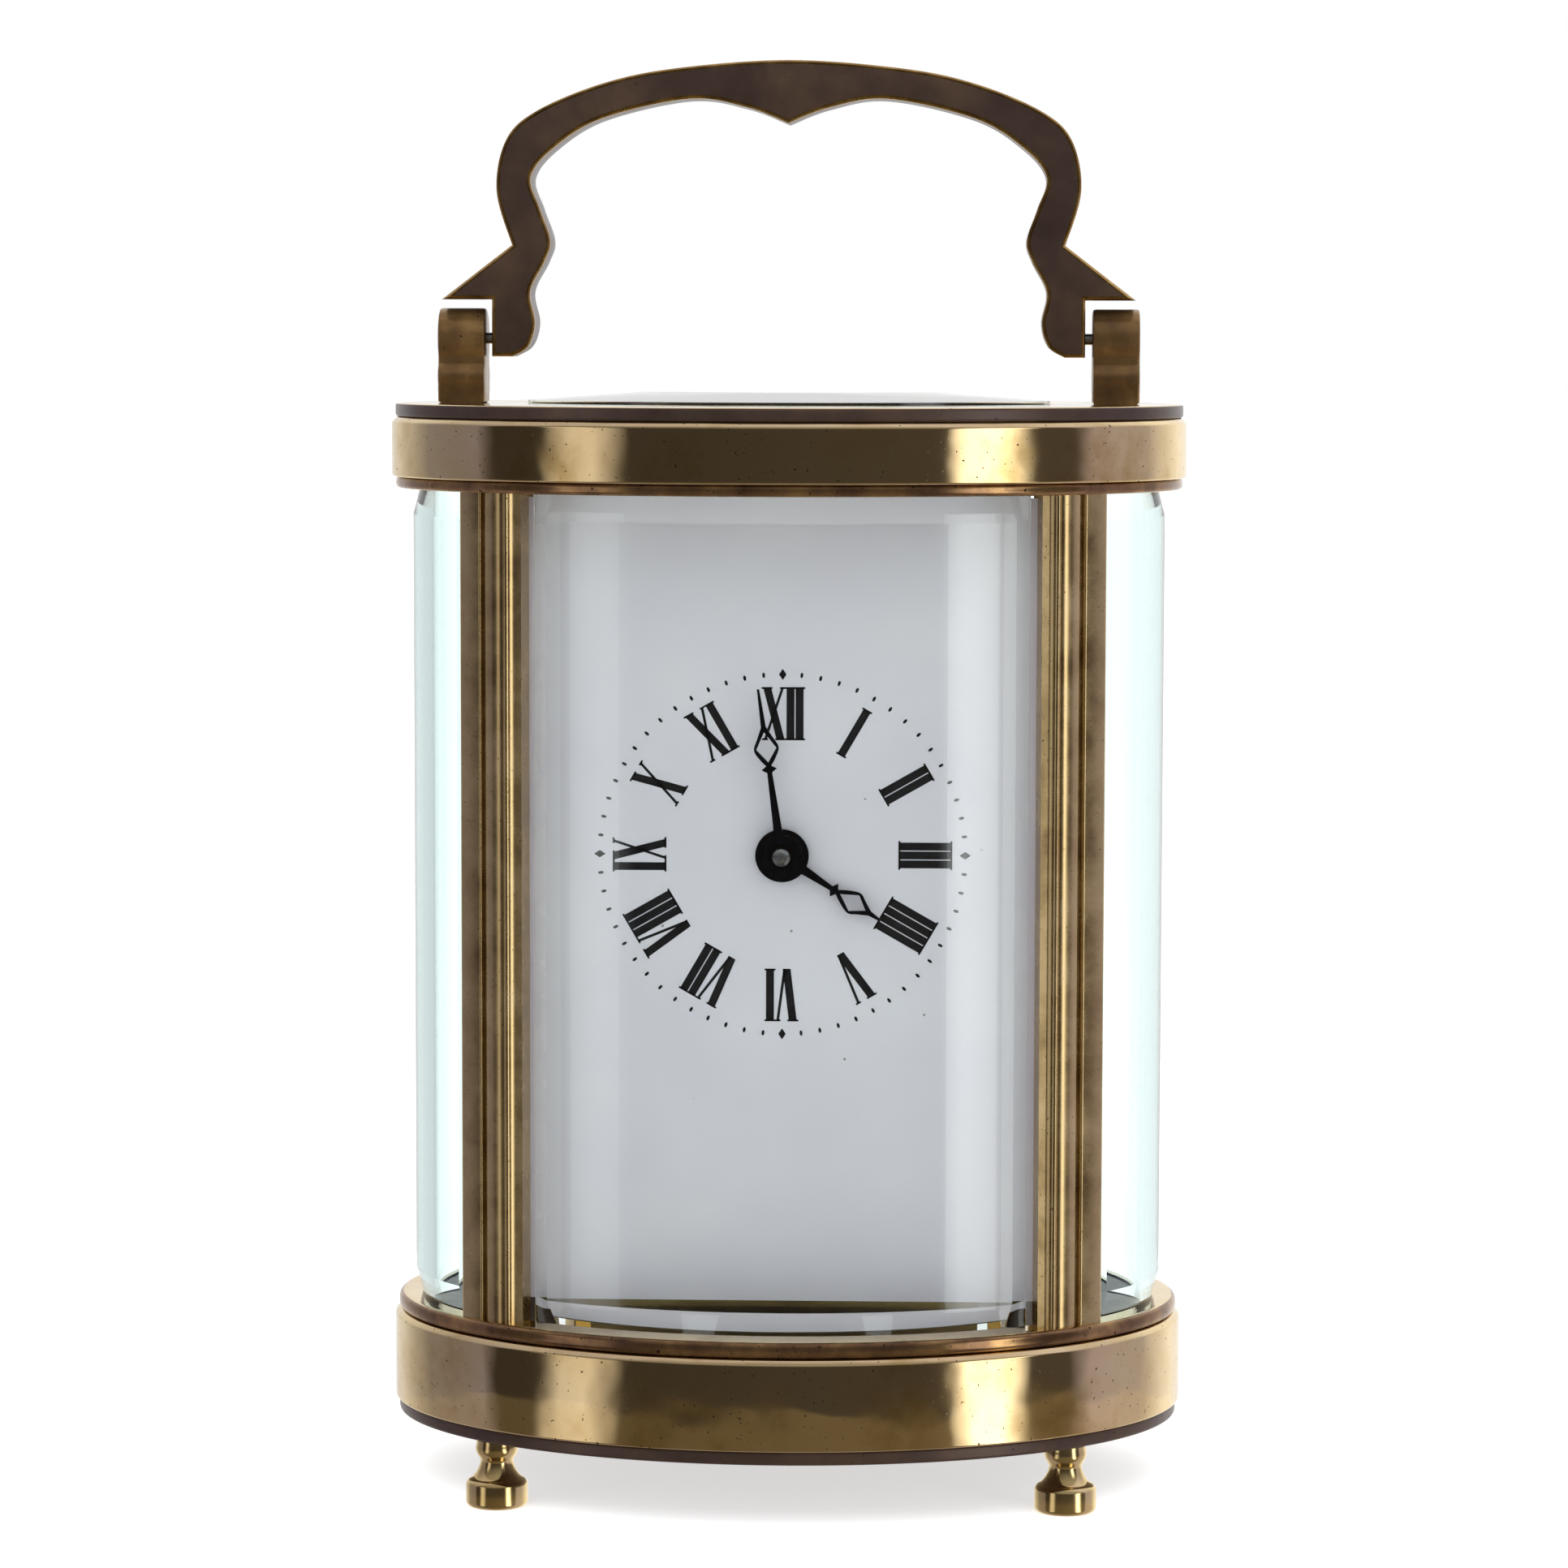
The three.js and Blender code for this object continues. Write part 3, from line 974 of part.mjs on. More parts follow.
function motionWork() {
  const minuteEnd = MINUTE_WHEEL_Y + MOTION_WHEEL_THICKNESS;
  const hourEnd = HOUR_WHEEL_Y + MOTION_WHEEL_THICKNESS;
  const cannonBack = FRONT_PLATE_Y - END_SHAKE;
  const cannonPhase = pinionPhase(MINUTE, CENTRE, CANNON_LEAVES);
  const cannonBore = rod(CENTRE, ARBOR_RADIUS + SHAFT_CLEARANCE, MINUTE_HAND_Y - CUT, cannonBack + CUT);
  const cannon = joined([
    rod(CENTRE, CANNON_PIPE_RADIUS, MINUTE_HAND_Y, cannonBack),
    pinion(CENTRE, CANNON_LEAVES, MOTION_MODULE, cannonPhase, MINUTE_WHEEL_Y, minuteEnd + PINION_OVERLAP),
  ]);
  place('cannon_pinion', cannon.subtract(cannonBore), STEEL);
  const motionWheel = (at, teeth, module, next, y) => {
    return wheel(at, teeth, module, facing(at, next), y, MOTION_WHEEL_THICKNESS, MOTION_HUB_RADIUS);
  };
  const minuteMiddle = (MINUTE_WHEEL_Y + minuteEnd) / 2;
  const minutePhase = pinionPhase(CENTRE, MINUTE, MINUTE_PINION_LEAVES);
  const minuteBore = rod(MINUTE, MINUTE_STUD_RADIUS + SHAFT_CLEARANCE, HOUR_WHEEL_Y - CUT, minuteEnd + CUT);
  const minuteWheel = joined([
    motionWheel(MINUTE, MINUTE_WHEEL_TEETH, MOTION_MODULE, CENTRE, MINUTE_WHEEL_Y),
    pinion(MINUTE, MINUTE_PINION_LEAVES, HOUR_MODULE, minutePhase, HOUR_WHEEL_Y, minuteMiddle),
  ]);
  place('minute_wheel', minuteWheel.subtract(minuteBore), MOVEMENT_BRASS);
  const hourBore = rod(CENTRE, CANNON_PIPE_RADIUS + SHAFT_CLEARANCE, HOUR_HAND_Y - CUT, hourEnd + CUT);
  const hourWheel = joined([
    motionWheel(CENTRE, HOUR_WHEEL_TEETH, HOUR_MODULE, MINUTE, HOUR_WHEEL_Y),
    rod(CENTRE, HOUR_PIPE_RADIUS, HOUR_HAND_Y, hourEnd),
  ]);
  place('hour_wheel', hourWheel.subtract(hourBore), MOVEMENT_BRASS);
}

// The dial fills the width between the front columns' webs
function dial() {
  const bottom = FLOOR_Z + DIAL_FLOOR_GAP;
  const inner = onColumn(-COLUMN_WEB_HALF, -COLUMN_WEB_DEPTH);
  const outer = onColumn(COLUMN_WEB_HALF, -COLUMN_WEB_DEPTH);
  const share = (inner.y + DIAL_FRONT_Y) / (inner.y - outer.y);
  const half = THREE.MathUtils.lerp(inner.x, outer.x, share) - DIAL_SIDE_GAP;
  const outline = rectangle(-half, bottom, half, TOP_LIP_Z - DIAL_TOP_GAP);
  const hole = circle(CENTRE.x, CENTRE.y, DIAL_HOLE_RADIUS, 16);
  const levels = [bottom + DIAL_FOOT_INSET, PLATFORM_Z - DIAL_FOOT_INSET];
  const feet = SIDES.flatMap(([, sx]) => levels.map((z) => {
    const at = new THREE.Vector2(sx * PILLAR_X, z);
    return rod(at, DIAL_FOOT_RADIUS, (DIAL_FRONT_Y + DIAL_BACK_Y) / 2, FRONT_PLATE_Y, 10);
  }));
  place('dial', joined([drawn('y', outline, DIAL_FRONT_Y, DIAL_BACK_Y, [hole]), ...feet]), ENAMEL);
}

// A hand with a crossbar and an open lozenge, drawn pointing up and turned clockwise from twelve
function hand(name, y, bore, hub, angle, { bar, widest, half, peak, length }) {
  const stem = HAND_STEM_HALF;
  const rightEdge = [
    [stem * 1.3, hub / 2], [stem * 0.7, bar - stem], [stem * 2.2, bar], [stem * 0.7, bar + stem],
    [half, widest], [stem * 0.7, peak], [stem * 0.3, length],
  ];
  const leftEdge = rightEdge.map(([u, r]) => [-u, r]).reverse();
  const slit = half - 1.2 * stem;
  const opening = [[0, bar + 2.4 * stem], [slit, widest], [0, peak - 2 * stem], [-slit, widest]];
  const middle = new THREE.Vector2();
  const inPlace = ([u, r]) => new THREE.Vector2(u, r).rotateAround(middle, -degrees(angle)).add(CENTRE);
  const edge = [...rightEdge, ...leftEdge].map(inPlace);
  const blade = drawn('y', edge, y, y + HAND_THICKNESS, [opening.map(inPlace)]);
  const boss = rod(CENTRE, hub, y, y + HAND_THICKNESS, 20);
  const hole = rod(CENTRE, bore + SHAFT_CLEARANCE, y - CUT, y + CUT, 14);
  place(name, blade.add(boss).subtract(hole), BLUED_STEEL);
}

function hands() {
  hand('hour_hand', HOUR_HAND_Y, HOUR_PIPE_RADIUS, HAND_HUB_RADIUS, HOUR_HAND_ANGLE, {
    bar: HOUR_HAND_BAR, widest: HOUR_HAND_WIDEST, half: HOUR_HAND_HALF, peak: HOUR_HAND_PEAK,
    length: HOUR_HAND_LENGTH,
  });
  hand('minute_hand', MINUTE_HAND_Y, CANNON_PIPE_RADIUS, MINUTE_HUB_RADIUS, MINUTE_HAND_ANGLE, {
    bar: MINUTE_HAND_BAR, widest: MINUTE_HAND_WIDEST, half: MINUTE_HAND_HALF, peak: MINUTE_HAND_PEAK,
    length: MINUTE_HAND_LENGTH,
  });
  const dome = [[0, -1], [0.6, -0.9], [1, -0.6], [1, 0], [0, 0]];
  const profile = dome.map((at) => [at[0] * HAND_NUT_RADIUS, ARBOR_FRONT_Y + at[1] * HAND_NUT_RADIUS]);
  place('hand_nut', turned('y', profile, 12, CENTRE.x, 0, CENTRE.y), STEEL);
}

// Plan places of the escapement, in line from the contrate wheel's teeth towards the back
const ESCAPE_PITCH_RADIUS = (ESCAPE_PINION * CONTRATE_RADIUS) / CONTRATE_TEETH;
const ESCAPE_Y = CONTRATE_WHEEL_Y - CONTRATE_TOOTH_HEIGHT / 2 - ESCAPE_PITCH_RADIUS - CONTRATE_BACKLASH;
const LEVER_Y = ESCAPE_Y + LEVER_OFFSET;
const BALANCE_Y = ESCAPE_Y + BALANCE_OFFSET;
const ESCAPE_COCK_Z = PLATFORM_TOP_Z + ESCAPE_COCK_RISE;
const COCK_Z = PLATFORM_TOP_Z + COCK_RISE;
const LOWER_COCK_Z = CONTRATE_TOP_Z - LOWER_COCK_DROP;

function upright(radius, z0, z1, y, sides = 10) {
  return cylinder('z', radius, z0, z1, sides, 0, y);
}

function jewelHole(y) {
  return circle(0, y, JEWEL_PIVOT_RADIUS + SHAFT_CLEARANCE, 10);
}

function platform() {
  const outline = rectangle(-PLATFORM_HALF_WIDTH, FRONT_PLATE_Y, PLATFORM_HALF_WIDTH, BACK_OUTER_Y);
  const escapeHole = circle(0, ESCAPE_Y, STAFF_RADIUS + SHAFT_CLEARANCE, 10);
  const holes = [escapeHole, jewelHole(LEVER_Y), jewelHole(BALANCE_Y)];
  place('platform', drawn('z', outline, PLATFORM_Z, PLATFORM_TOP_Z, holes), MOVEMENT_BRASS);
  const post = LOWER_COCK_POST;
  const column = rectangle(-post, LOWER_COCK_BACK_Y, post, LOWER_COCK_BACK_Y + post);
  const toe = ESCAPE_Y + JEWEL_PIVOT_RADIUS + LOWER_COCK_TOE;
  const shelf = rectangle(-post, LOWER_COCK_BACK_Y, post, toe);
  place('escape_lower_cock', joined([
    drawn('z', column, LOWER_COCK_Z, PLATFORM_Z),
    drawn('z', shelf, LOWER_COCK_Z, LOWER_COCK_Z + COCK_THICKNESS, [jewelHole(ESCAPE_Y)]),
  ]), MOVEMENT_BRASS);
}

function escapement() {
  const wheelZ = PLATFORM_TOP_Z + ESCAPE_WHEEL_RISE;
  const pitch = (2 * Math.PI) / ESCAPE_TEETH;
  const root = ESCAPE_RADIUS - ESCAPE_TOOTH;
  const centre = new THREE.Vector2(0, ESCAPE_Y);
  const rim = Array.from({ length: ESCAPE_TEETH }, (_, i) => ESCAPE_SAW.map(([height, share]) => {
    return polar(centre, root + height * ESCAPE_TOOTH, pitch * (i + share));
  })).flat();
  const open = crossings(centre, ESCAPE_HUB_RADIUS, root - ESCAPE_THICKNESS, ESCAPE_ARM_HALF);
  const module = (2 * ESCAPE_PITCH_RADIUS) / ESCAPE_PINION;
  const leafPhase = Math.PI / 2 + Math.PI / ESCAPE_PINION;
  const leaves = teethOutline(centre, ESCAPE_PINION, module, leafPhase, PINION_LEAF);
  const arborZ = [LOWER_COCK_Z + COCK_THICKNESS + END_SHAKE, ESCAPE_COCK_Z - END_SHAKE];
  place('escape_wheel', joined([
    drawn('z', rim, wheelZ, wheelZ + ESCAPE_THICKNESS, open),
    drawn('z', leaves, CONTRATE_TOP_Z - PINION_OVERLAP, CONTRATE_TOP_Z + PINION_OVERLAP),
    upright(ESCAPE_ARBOR_RADIUS, ...arborZ, ESCAPE_Y),
    upright(JEWEL_PIVOT_RADIUS, LOWER_COCK_Z, ESCAPE_COCK_Z + ESCAPE_COCK_THICKNESS, ESCAPE_Y),
  ]), STEEL);
  lever(wheelZ);
  escapeCock();
}

// The lever: a forked tail towards the balance, and two arms that end in pallets beside the escape wheel
function lever(z) {
  const reach = ESCAPE_RADIUS + PALLET_GAP;
  const plan = (x, rise) => new THREE.Vector2(x, LEVER_Y + rise);
  const pallet = (radius, angle) => polar(new THREE.Vector2(0, ESCAPE_Y), radius, degrees(angle));
  const slotEnd = LEVER_FORK - LEVER_SLOT_DEPTH;
  const rightSide = [
    plan(LEVER_SLOT_HALF, slotEnd),
    plan(LEVER_SLOT_HALF, LEVER_FORK),
    plan(LEVER_HORN_HALF, LEVER_FORK),
    plan(LEVER_ARM_HALF, slotEnd - LEVER_ARM_HALF),
    plan(LEVER_ARM_HALF, LEVER_HUB),
    plan(LEVER_HUB, LEVER_ARM_HALF),
    pallet(reach + PALLET_DEPTH, (PALLET_TIP_ANGLE + PALLET_BACK_ANGLE) / 2),
    pallet(reach, PALLET_TIP_ANGLE),
    pallet(reach, PALLET_BACK_ANGLE),
    plan(LEVER_HUB, -LEVER_ARM_HALF),
  ];
  const leftSide = rightSide.map((p) => new THREE.Vector2(-p.x, p.y)).reverse();
  place('lever', joined([
    drawn('z', [...rightSide, ...leftSide], z, z + ESCAPE_THICKNESS),
    upright(STAFF_RADIUS, PLATFORM_TOP_Z + END_SHAKE, ESCAPE_COCK_Z - END_SHAKE, LEVER_Y),
    upright(JEWEL_PIVOT_RADIUS, PLATFORM_Z, ESCAPE_COCK_Z + ESCAPE_COCK_THICKNESS, LEVER_Y),
  ]), STEEL);
}

// The bridge over the escape wheel and the lever, on a foot to the left of both
function escapeCock() {
  const half = ESCAPE_COCK_HALF;
  const endX = -ESCAPE_COCK_FOOT_X - ESCAPE_COCK_FOOT;
  const holes = [jewelHole(ESCAPE_Y), jewelHole(LEVER_Y)];
  const outline = new THREE.Shape();
  outline.moveTo(endX, ESCAPE_Y - half);
  outline.lineTo(0, ESCAPE_Y - half);
  outline.absarc(0, ESCAPE_Y, half, -Math.PI / 2, Math.PI / 4, false);
  outline.absarc(0, LEVER_Y, half, -Math.PI / 4, Math.PI / 2, false);
  outline.lineTo(endX, LEVER_Y + half);
  const foot = rectangle(endX, ESCAPE_Y - half, -ESCAPE_COCK_FOOT_X, LEVER_Y + half);
  place('escape_cock', joined([
    drawn('z', outline, ESCAPE_COCK_Z, ESCAPE_COCK_Z + ESCAPE_COCK_THICKNESS, holes),
    drawn('z', foot, PLATFORM_TOP_Z, ESCAPE_COCK_Z),
  ]), MOVEMENT_BRASS);
}

function balance() {
  const z = PLATFORM_TOP_Z + BALANCE_RISE;
  const centre = new THREE.Vector2(0, BALANCE_Y);
  const open = crossings(centre, BALANCE_HUB_RADIUS, BALANCE_RADIUS - BALANCE_RIM, BALANCE_ARM_HALF, 2);
  const rollerZ = PLATFORM_TOP_Z + ROLLER_RISE;
  const rollerTop = rollerZ + ROLLER_THICKNESS;
  place('balance', joined([
    drawn('z', circle(0, BALANCE_Y, BALANCE_RADIUS, 24), z, z + BALANCE_THICKNESS, open),
    upright(STAFF_RADIUS, PLATFORM_TOP_Z + END_SHAKE, COCK_Z - END_SHAKE, BALANCE_Y),
    upright(JEWEL_PIVOT_RADIUS, PLATFORM_Z, COCK_Z + COCK_THICKNESS, BALANCE_Y),
    upright(ROLLER_RADIUS, rollerZ, rollerTop, BALANCE_Y, 14),
    upright(IMPULSE_PIN_RADIUS, PLATFORM_TOP_Z + LEVER_RISE, rollerTop, BALANCE_Y - IMPULSE_PIN_OFFSET, 8),
  ]), MOVEMENT_BRASS);
  balanceCock();
}

// The cock reaches from its foot on the right to the balance's upper pivot, and holds the spring's stud
function balanceCock() {
  const endX = COCK_FOOT_X + COCK_FOOT;
  const top = COCK_Z + COCK_THICKNESS;
  const arm = new THREE.Shape();
  arm.moveTo(endX, BALANCE_Y - COCK_HALF);
  arm.lineTo(endX, BALANCE_Y + COCK_HALF);
  arm.lineTo(COCK_FOOT_X, BALANCE_Y + COCK_HALF);
  arm.absarc(0, BALANCE_Y, COCK_HEAD, Math.PI / 2, 1.5 * Math.PI, false);
  arm.lineTo(COCK_FOOT_X, BALANCE_Y - COCK_HALF);
  const foot = rectangle(COCK_FOOT_X, BALANCE_Y - COCK_HALF, endX, BALANCE_Y + COCK_HALF);
  const springEnd = HAIRSPRING_INNER + HAIRSPRING_TURNS * HAIRSPRING_PITCH;
  const studX = springEnd - HAIRSPRING_STUD / 2;
  const studY = BALANCE_Y + SEAT_GAP;
  const stud = rectangle(studX, studY, studX + HAIRSPRING_STUD, studY + HAIRSPRING_STUD);
  place('balance_cock', joined([
    drawn('z', arm, COCK_Z, top, [jewelHole(BALANCE_Y)], 6),
    drawn('z', foot, PLATFORM_TOP_Z, (COCK_Z + top) / 2),
    drawn('z', stud, PLATFORM_TOP_Z + HAIRSPRING_RISE, (COCK_Z + top) / 2),
  ]), MOVEMENT_BRASS);
}

// The balance spring: one flat ribbon wound in a spiral round the staff
function balanceSpring() {
  const centre = new THREE.Vector2(0, BALANCE_Y);
  const steps = HAIRSPRING_TURNS * HAIRSPRING_STEPS;
  const edge = (offset) => Array.from({ length: steps + 1 }, (_, i) => {
    const turns = i / HAIRSPRING_STEPS;
    return polar(centre, HAIRSPRING_INNER + turns * HAIRSPRING_PITCH + offset, turns * 2 * Math.PI);
  });
  const outer = edge(HAIRSPRING_THICKNESS / 2);
  const inner = edge(-HAIRSPRING_THICKNESS / 2);
  const z = PLATFORM_TOP_Z + HAIRSPRING_RISE;
  place('balance_spring', drawn('z', [...outer, ...inner.toReversed()], z, z + HAIRSPRING_HEIGHT), STEEL);
  const middles = inner.slice(1).map((p, i) => p.clone().add(inner[i]).divideScalar(2));
  const outwards = (points, i) => points.slice(i + HAIRSPRING_STEPS - 1);
  const nextTurn = (i) => [...outwards(inner, i), ...outwards(middles, i)];
  const gaps = outer.flatMap((p, i) => nextTurn(i).map((q) => p.distanceTo(q)));
  console.log(`balance spring: least gap between turns ${Math.min(...gaps).toFixed(2)} mm`);
}

base();
glasses();
top();
handle();
rearDoor();
movementFrame();
barrelAndWinding();
train();
motionWork();
dial();
hands();
platform();
escapement();
balance();
balanceSpring();

export default clock;
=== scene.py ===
"""Looks of the oval carriage clock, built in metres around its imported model."""
import json
import math

import bmesh
import bpy
from mathutils import Matrix, Vector

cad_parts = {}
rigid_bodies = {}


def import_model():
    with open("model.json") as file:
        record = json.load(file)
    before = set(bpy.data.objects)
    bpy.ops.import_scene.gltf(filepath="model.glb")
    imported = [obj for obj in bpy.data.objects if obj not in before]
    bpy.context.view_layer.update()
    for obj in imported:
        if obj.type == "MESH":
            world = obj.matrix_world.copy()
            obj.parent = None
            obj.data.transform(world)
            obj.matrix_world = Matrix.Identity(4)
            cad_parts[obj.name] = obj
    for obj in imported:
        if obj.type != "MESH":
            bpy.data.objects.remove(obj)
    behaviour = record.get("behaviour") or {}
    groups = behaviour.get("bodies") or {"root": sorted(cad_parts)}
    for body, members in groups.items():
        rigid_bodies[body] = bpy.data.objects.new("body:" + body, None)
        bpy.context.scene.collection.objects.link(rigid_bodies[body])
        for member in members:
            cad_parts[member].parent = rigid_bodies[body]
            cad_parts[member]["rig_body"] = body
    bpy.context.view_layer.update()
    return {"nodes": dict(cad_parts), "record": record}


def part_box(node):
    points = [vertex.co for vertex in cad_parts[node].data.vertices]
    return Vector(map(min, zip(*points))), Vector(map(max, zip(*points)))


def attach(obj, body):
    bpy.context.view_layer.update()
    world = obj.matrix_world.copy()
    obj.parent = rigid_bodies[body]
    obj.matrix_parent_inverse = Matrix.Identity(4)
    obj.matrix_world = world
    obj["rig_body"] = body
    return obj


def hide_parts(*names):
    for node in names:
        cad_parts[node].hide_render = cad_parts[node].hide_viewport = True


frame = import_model()
NODES = frame["nodes"]
BODY_OF = {name: node["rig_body"] for name, node in NODES.items()}
SLOT_OF = {entry["node"]: entry["material_slot"] for entry in frame["record"]["subparts"]}
MM = 0.001

# The case oval and the levels of its plates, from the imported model
HALF_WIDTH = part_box("base_band")[1].x
HALF_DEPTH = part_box("base_band")[1].y
FLOOR_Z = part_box("base_top_plate")[1].z
CEILING_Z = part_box("top_lip_plate")[0].z
ROOF_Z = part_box("top_plate")[1].z
PIVOT_Z = sum(corner.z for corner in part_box("handle_pin_left")) / 2
DIAL_FRONT_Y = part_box("dial")[0].y
CENTRE_Z = sum(corner.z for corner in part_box("hand_nut")) / 2


def linear(code):
    """An sRGB hex colour as the linear RGBA that a shader takes."""
    parts = [int(code[i:i + 2], 16) / 255 for i in (1, 3, 5)]
    return [c / 12.92 if c <= 0.04045 else ((c + 0.055) / 1.055) ** 2.4 for c in parts] + [1.0]


def feed(tree, node, inputs):
    """Sets the inputs of a node to values, or links them to sockets."""
    for socket, value in inputs.items():
        if isinstance(value, bpy.types.NodeSocket):
            tree.links.new(value, node.inputs[socket])
        else:
            node.inputs[socket].default_value = value


def add_node(tree, kind, inputs=None, **settings):
    """A new node with its settings and its inputs."""
    made = tree.nodes.new(kind)
    for name, value in settings.items():
        setattr(made, name, value)
    feed(tree, made, inputs or {})
    return made


# Places of the colour sockets on a mix node
MIX_FIRST = 6
MIX_SECOND = 7
MIX_RESULT = 2


def blend(tree, share, first, second, how="MIX"):
    """Two colours blended by a share."""
    mixed = add_node(tree, "ShaderNodeMix", {
        0: share, MIX_FIRST: first, MIX_SECOND: second}, data_type="RGBA", blend_type=how)
    return mixed.outputs[MIX_RESULT]


def reckon(tree, operation, *values):
    """The outcome of one operation on sockets or numbers."""
    return add_node(tree, "ShaderNodeMath", dict(enumerate(values)), operation=operation).outputs["Value"]


def remap(tree, value, source, target=(0.0, 1.0)):
    """A value taken from one range to another and held inside it."""
    mapped = add_node(tree, "ShaderNodeMapRange", {
        "Value": value, "From Min": source[0], "From Max": source[1],
        "To Min": target[0], "To Max": target[1]})
    return mapped.outputs["Result"]


def noise(tree, place, size, detail, harshness=0.5):
    """Soft noise from 0 to 1 whose features are about a size across."""
    made = add_node(tree, "ShaderNodeTexNoise", {
        "Vector": place, "Scale": 1 / size, "Detail": detail, "Roughness": harshness})
    return made.outputs["Fac"]


def ramp(tree, share, stops):
    """A run of colours over a share; each stop is a place from 0 to 1 and a hex colour."""
    made = add_node(tree, "ShaderNodeValToRGB", {"Fac": share})
    elements = made.color_ramp.elements
    stops = list(stops)
    while len(elements) < len(stops):
        elements.new(stops[-1][0])
    for element, (position, code) in zip(elements, stops):
        element.position = position
        element.color = linear(code)
    return made.outputs["Color"]


def new_material(name):
    """A material with its tree, its shader and the object's own coordinates."""
    material = bpy.data.materials.new(name)
    material.use_nodes = True
    tree = material.node_tree
    place = add_node(tree, "ShaderNodeTexCoord").outputs["Object"]
    return material, tree, tree.nodes["Principled BSDF"], place


# How brass ages: blotches, pits, relief and hand polish
TONE_RANGE = (0.3, 0.7)
BLOTCH_DETAIL = 4.0
BLOTCH_HARSHNESS = 0.62
PIT_DETAIL = 1.0
PIT_EDGE = 0.05
PIT_DULLNESS = 0.3
RELIEF_STRENGTH = 0.5
WAVE_LENGTH = 9 * MM
WAVE_DETAIL = 1.5


def aged_brass(name, tones, blotch_mm, spot_tone, gloss, bump_mm, spot_mm=0.5, spot_cut=0.72, bare=1.0,
               wave_mm=0.0, places=(0.3, 0.5, 0.7)):
    """Brass by three tones and their places: slow blotches of colour, small dark pits, a gloss that
    follows both, and the shallow waves that polishing by hand leaves."""
    material, tree, shader, place = new_material(name)
    blotch = noise(tree, place, blotch_mm * MM, BLOTCH_DETAIL, BLOTCH_HARSHNESS)
    spots = noise(tree, place, spot_mm * MM, PIT_DETAIL)
    pits = remap(tree, spots, (spot_cut, spot_cut + PIT_EDGE))
    colour = blend(tree, pits, ramp(tree, blotch, zip(places, tones)), linear(spot_tone))
    dull = reckon(tree, "MULTIPLY_ADD", pits, PIT_DULLNESS, remap(tree, blotch, TONE_RANGE, gloss))
    relief = reckon(tree, "SUBTRACT", blotch, pits)
    bump = add_node(tree, "ShaderNodeBump", {
        "Height": relief, "Distance": bump_mm * MM, "Strength": RELIEF_STRENGTH})
    if wave_mm:
        wave = noise(tree, place, WAVE_LENGTH, WAVE_DETAIL)
        hand_polish = add_node(tree, "ShaderNodeBump", {"Height": wave, "Distance": wave_mm * MM})
        feed(tree, bump, {"Normal": hand_polish.outputs["Normal"]})
    feed(tree, shader, {
        "Base Color": colour, "Roughness": dull, "Normal": bump.outputs["Normal"], "Metallic": bare})
    return material


# Cast and polished brass, lacquer worn off: warm olive gold that mirrors the room, with small dark pits
CASE_BRASS = aged_brass(
    "polished_cast_brass", ("#C8AA72", "#E0C593", "#E9D2A4"),
    blotch_mm=9, spot_mm=0.38, spot_cut=0.715, spot_tone="#4A3A22", gloss=(0.12, 0.04), bump_mm=0.003,
    wave_mm=0.19, places=(0.3, 0.46, 0.7))
# Drawn brass of the columns, less polished: brown in the hollows, with a fine speckle of tarnish
COLUMN_BRASS = aged_brass(
    "drawn_column_brass", ("#B2976B", "#C9B07F", "#D7BF90"),
    blotch_mm=6, spot_mm=0.25, spot_tone="#4A3A24", gloss=(0.2, 0.32), bump_mm=0.004)
# Turned brass of the feet, freshly polished: the brightest metal on the clock
FOOT_BRASS = aged_brass(
    "turned_foot_brass", ("#D6B97C", "#E2C78C", "#EAD39E"),
    blotch_mm=4, spot_cut=0.78, spot_tone="#6A5126", gloss=(0.1, 0.18), bump_mm=0.003)
# Brass under a brown patina, as on the handle and the outer plates: half matt, browner in patches
PATINA_BRASS = aged_brass(
    "brown_patinated_brass", ("#3C2D29", "#483830", "#5A4636"),
    blotch_mm=12, spot_tone="#33261F", gloss=(0.26, 0.4), bump_mm=0.006, bare=0.45,
    places=(0.32, 0.52, 0.72))
# The same handle's eased rims in a lighter brass: a painted highlight where the rims catch the light
RIM_HIGHLIGHT_BRASS = aged_brass(
    "painted_highlight_rim_brass", ("#8A6C3C", "#B08C50", "#CBA868"),
    blotch_mm=3, spot_tone="#4A3826", gloss=(0.2, 0.32), bump_mm=0.006)
# Lips of the two rims: brown from polish left in the corner, bare gold along the crest
LIP_BRASS = aged_brass(
    "rubbed_lip_brass", ("#5E4637", "#866749", "#B08D5E"),
    blotch_mm=5, spot_cut=0.7, spot_tone="#3A2A20", gloss=(0.2, 0.09), bump_mm=0.005, bare=0.9,
    places=(0.3, 0.5, 0.72))
# Lugs of the handle: brown with age, a little gold left on the moulding
LUG_BRASS = aged_brass(
    "brown_lug_brass", ("#6A5138", "#80633F", "#9C7C4E"),
    blotch_mm=4, spot_tone="#3A2C20", gloss=(0.2, 0.3), bump_mm=0.005, bare=0.7)
# Gilt and lacquered plates and wheels of the movement: pale gold with a soft grain
MOVEMENT_BRASS = aged_brass(
    "lacquered_gilt_brass", ("#D6B975", "#DCC07E", "#E1C888"),
    blotch_mm=16, spot_mm=0.4, spot_cut=0.86, spot_tone="#8A6E3C", gloss=(0.24, 0.28), bump_mm=0.001)

GRAIN_DETAIL = 3.0


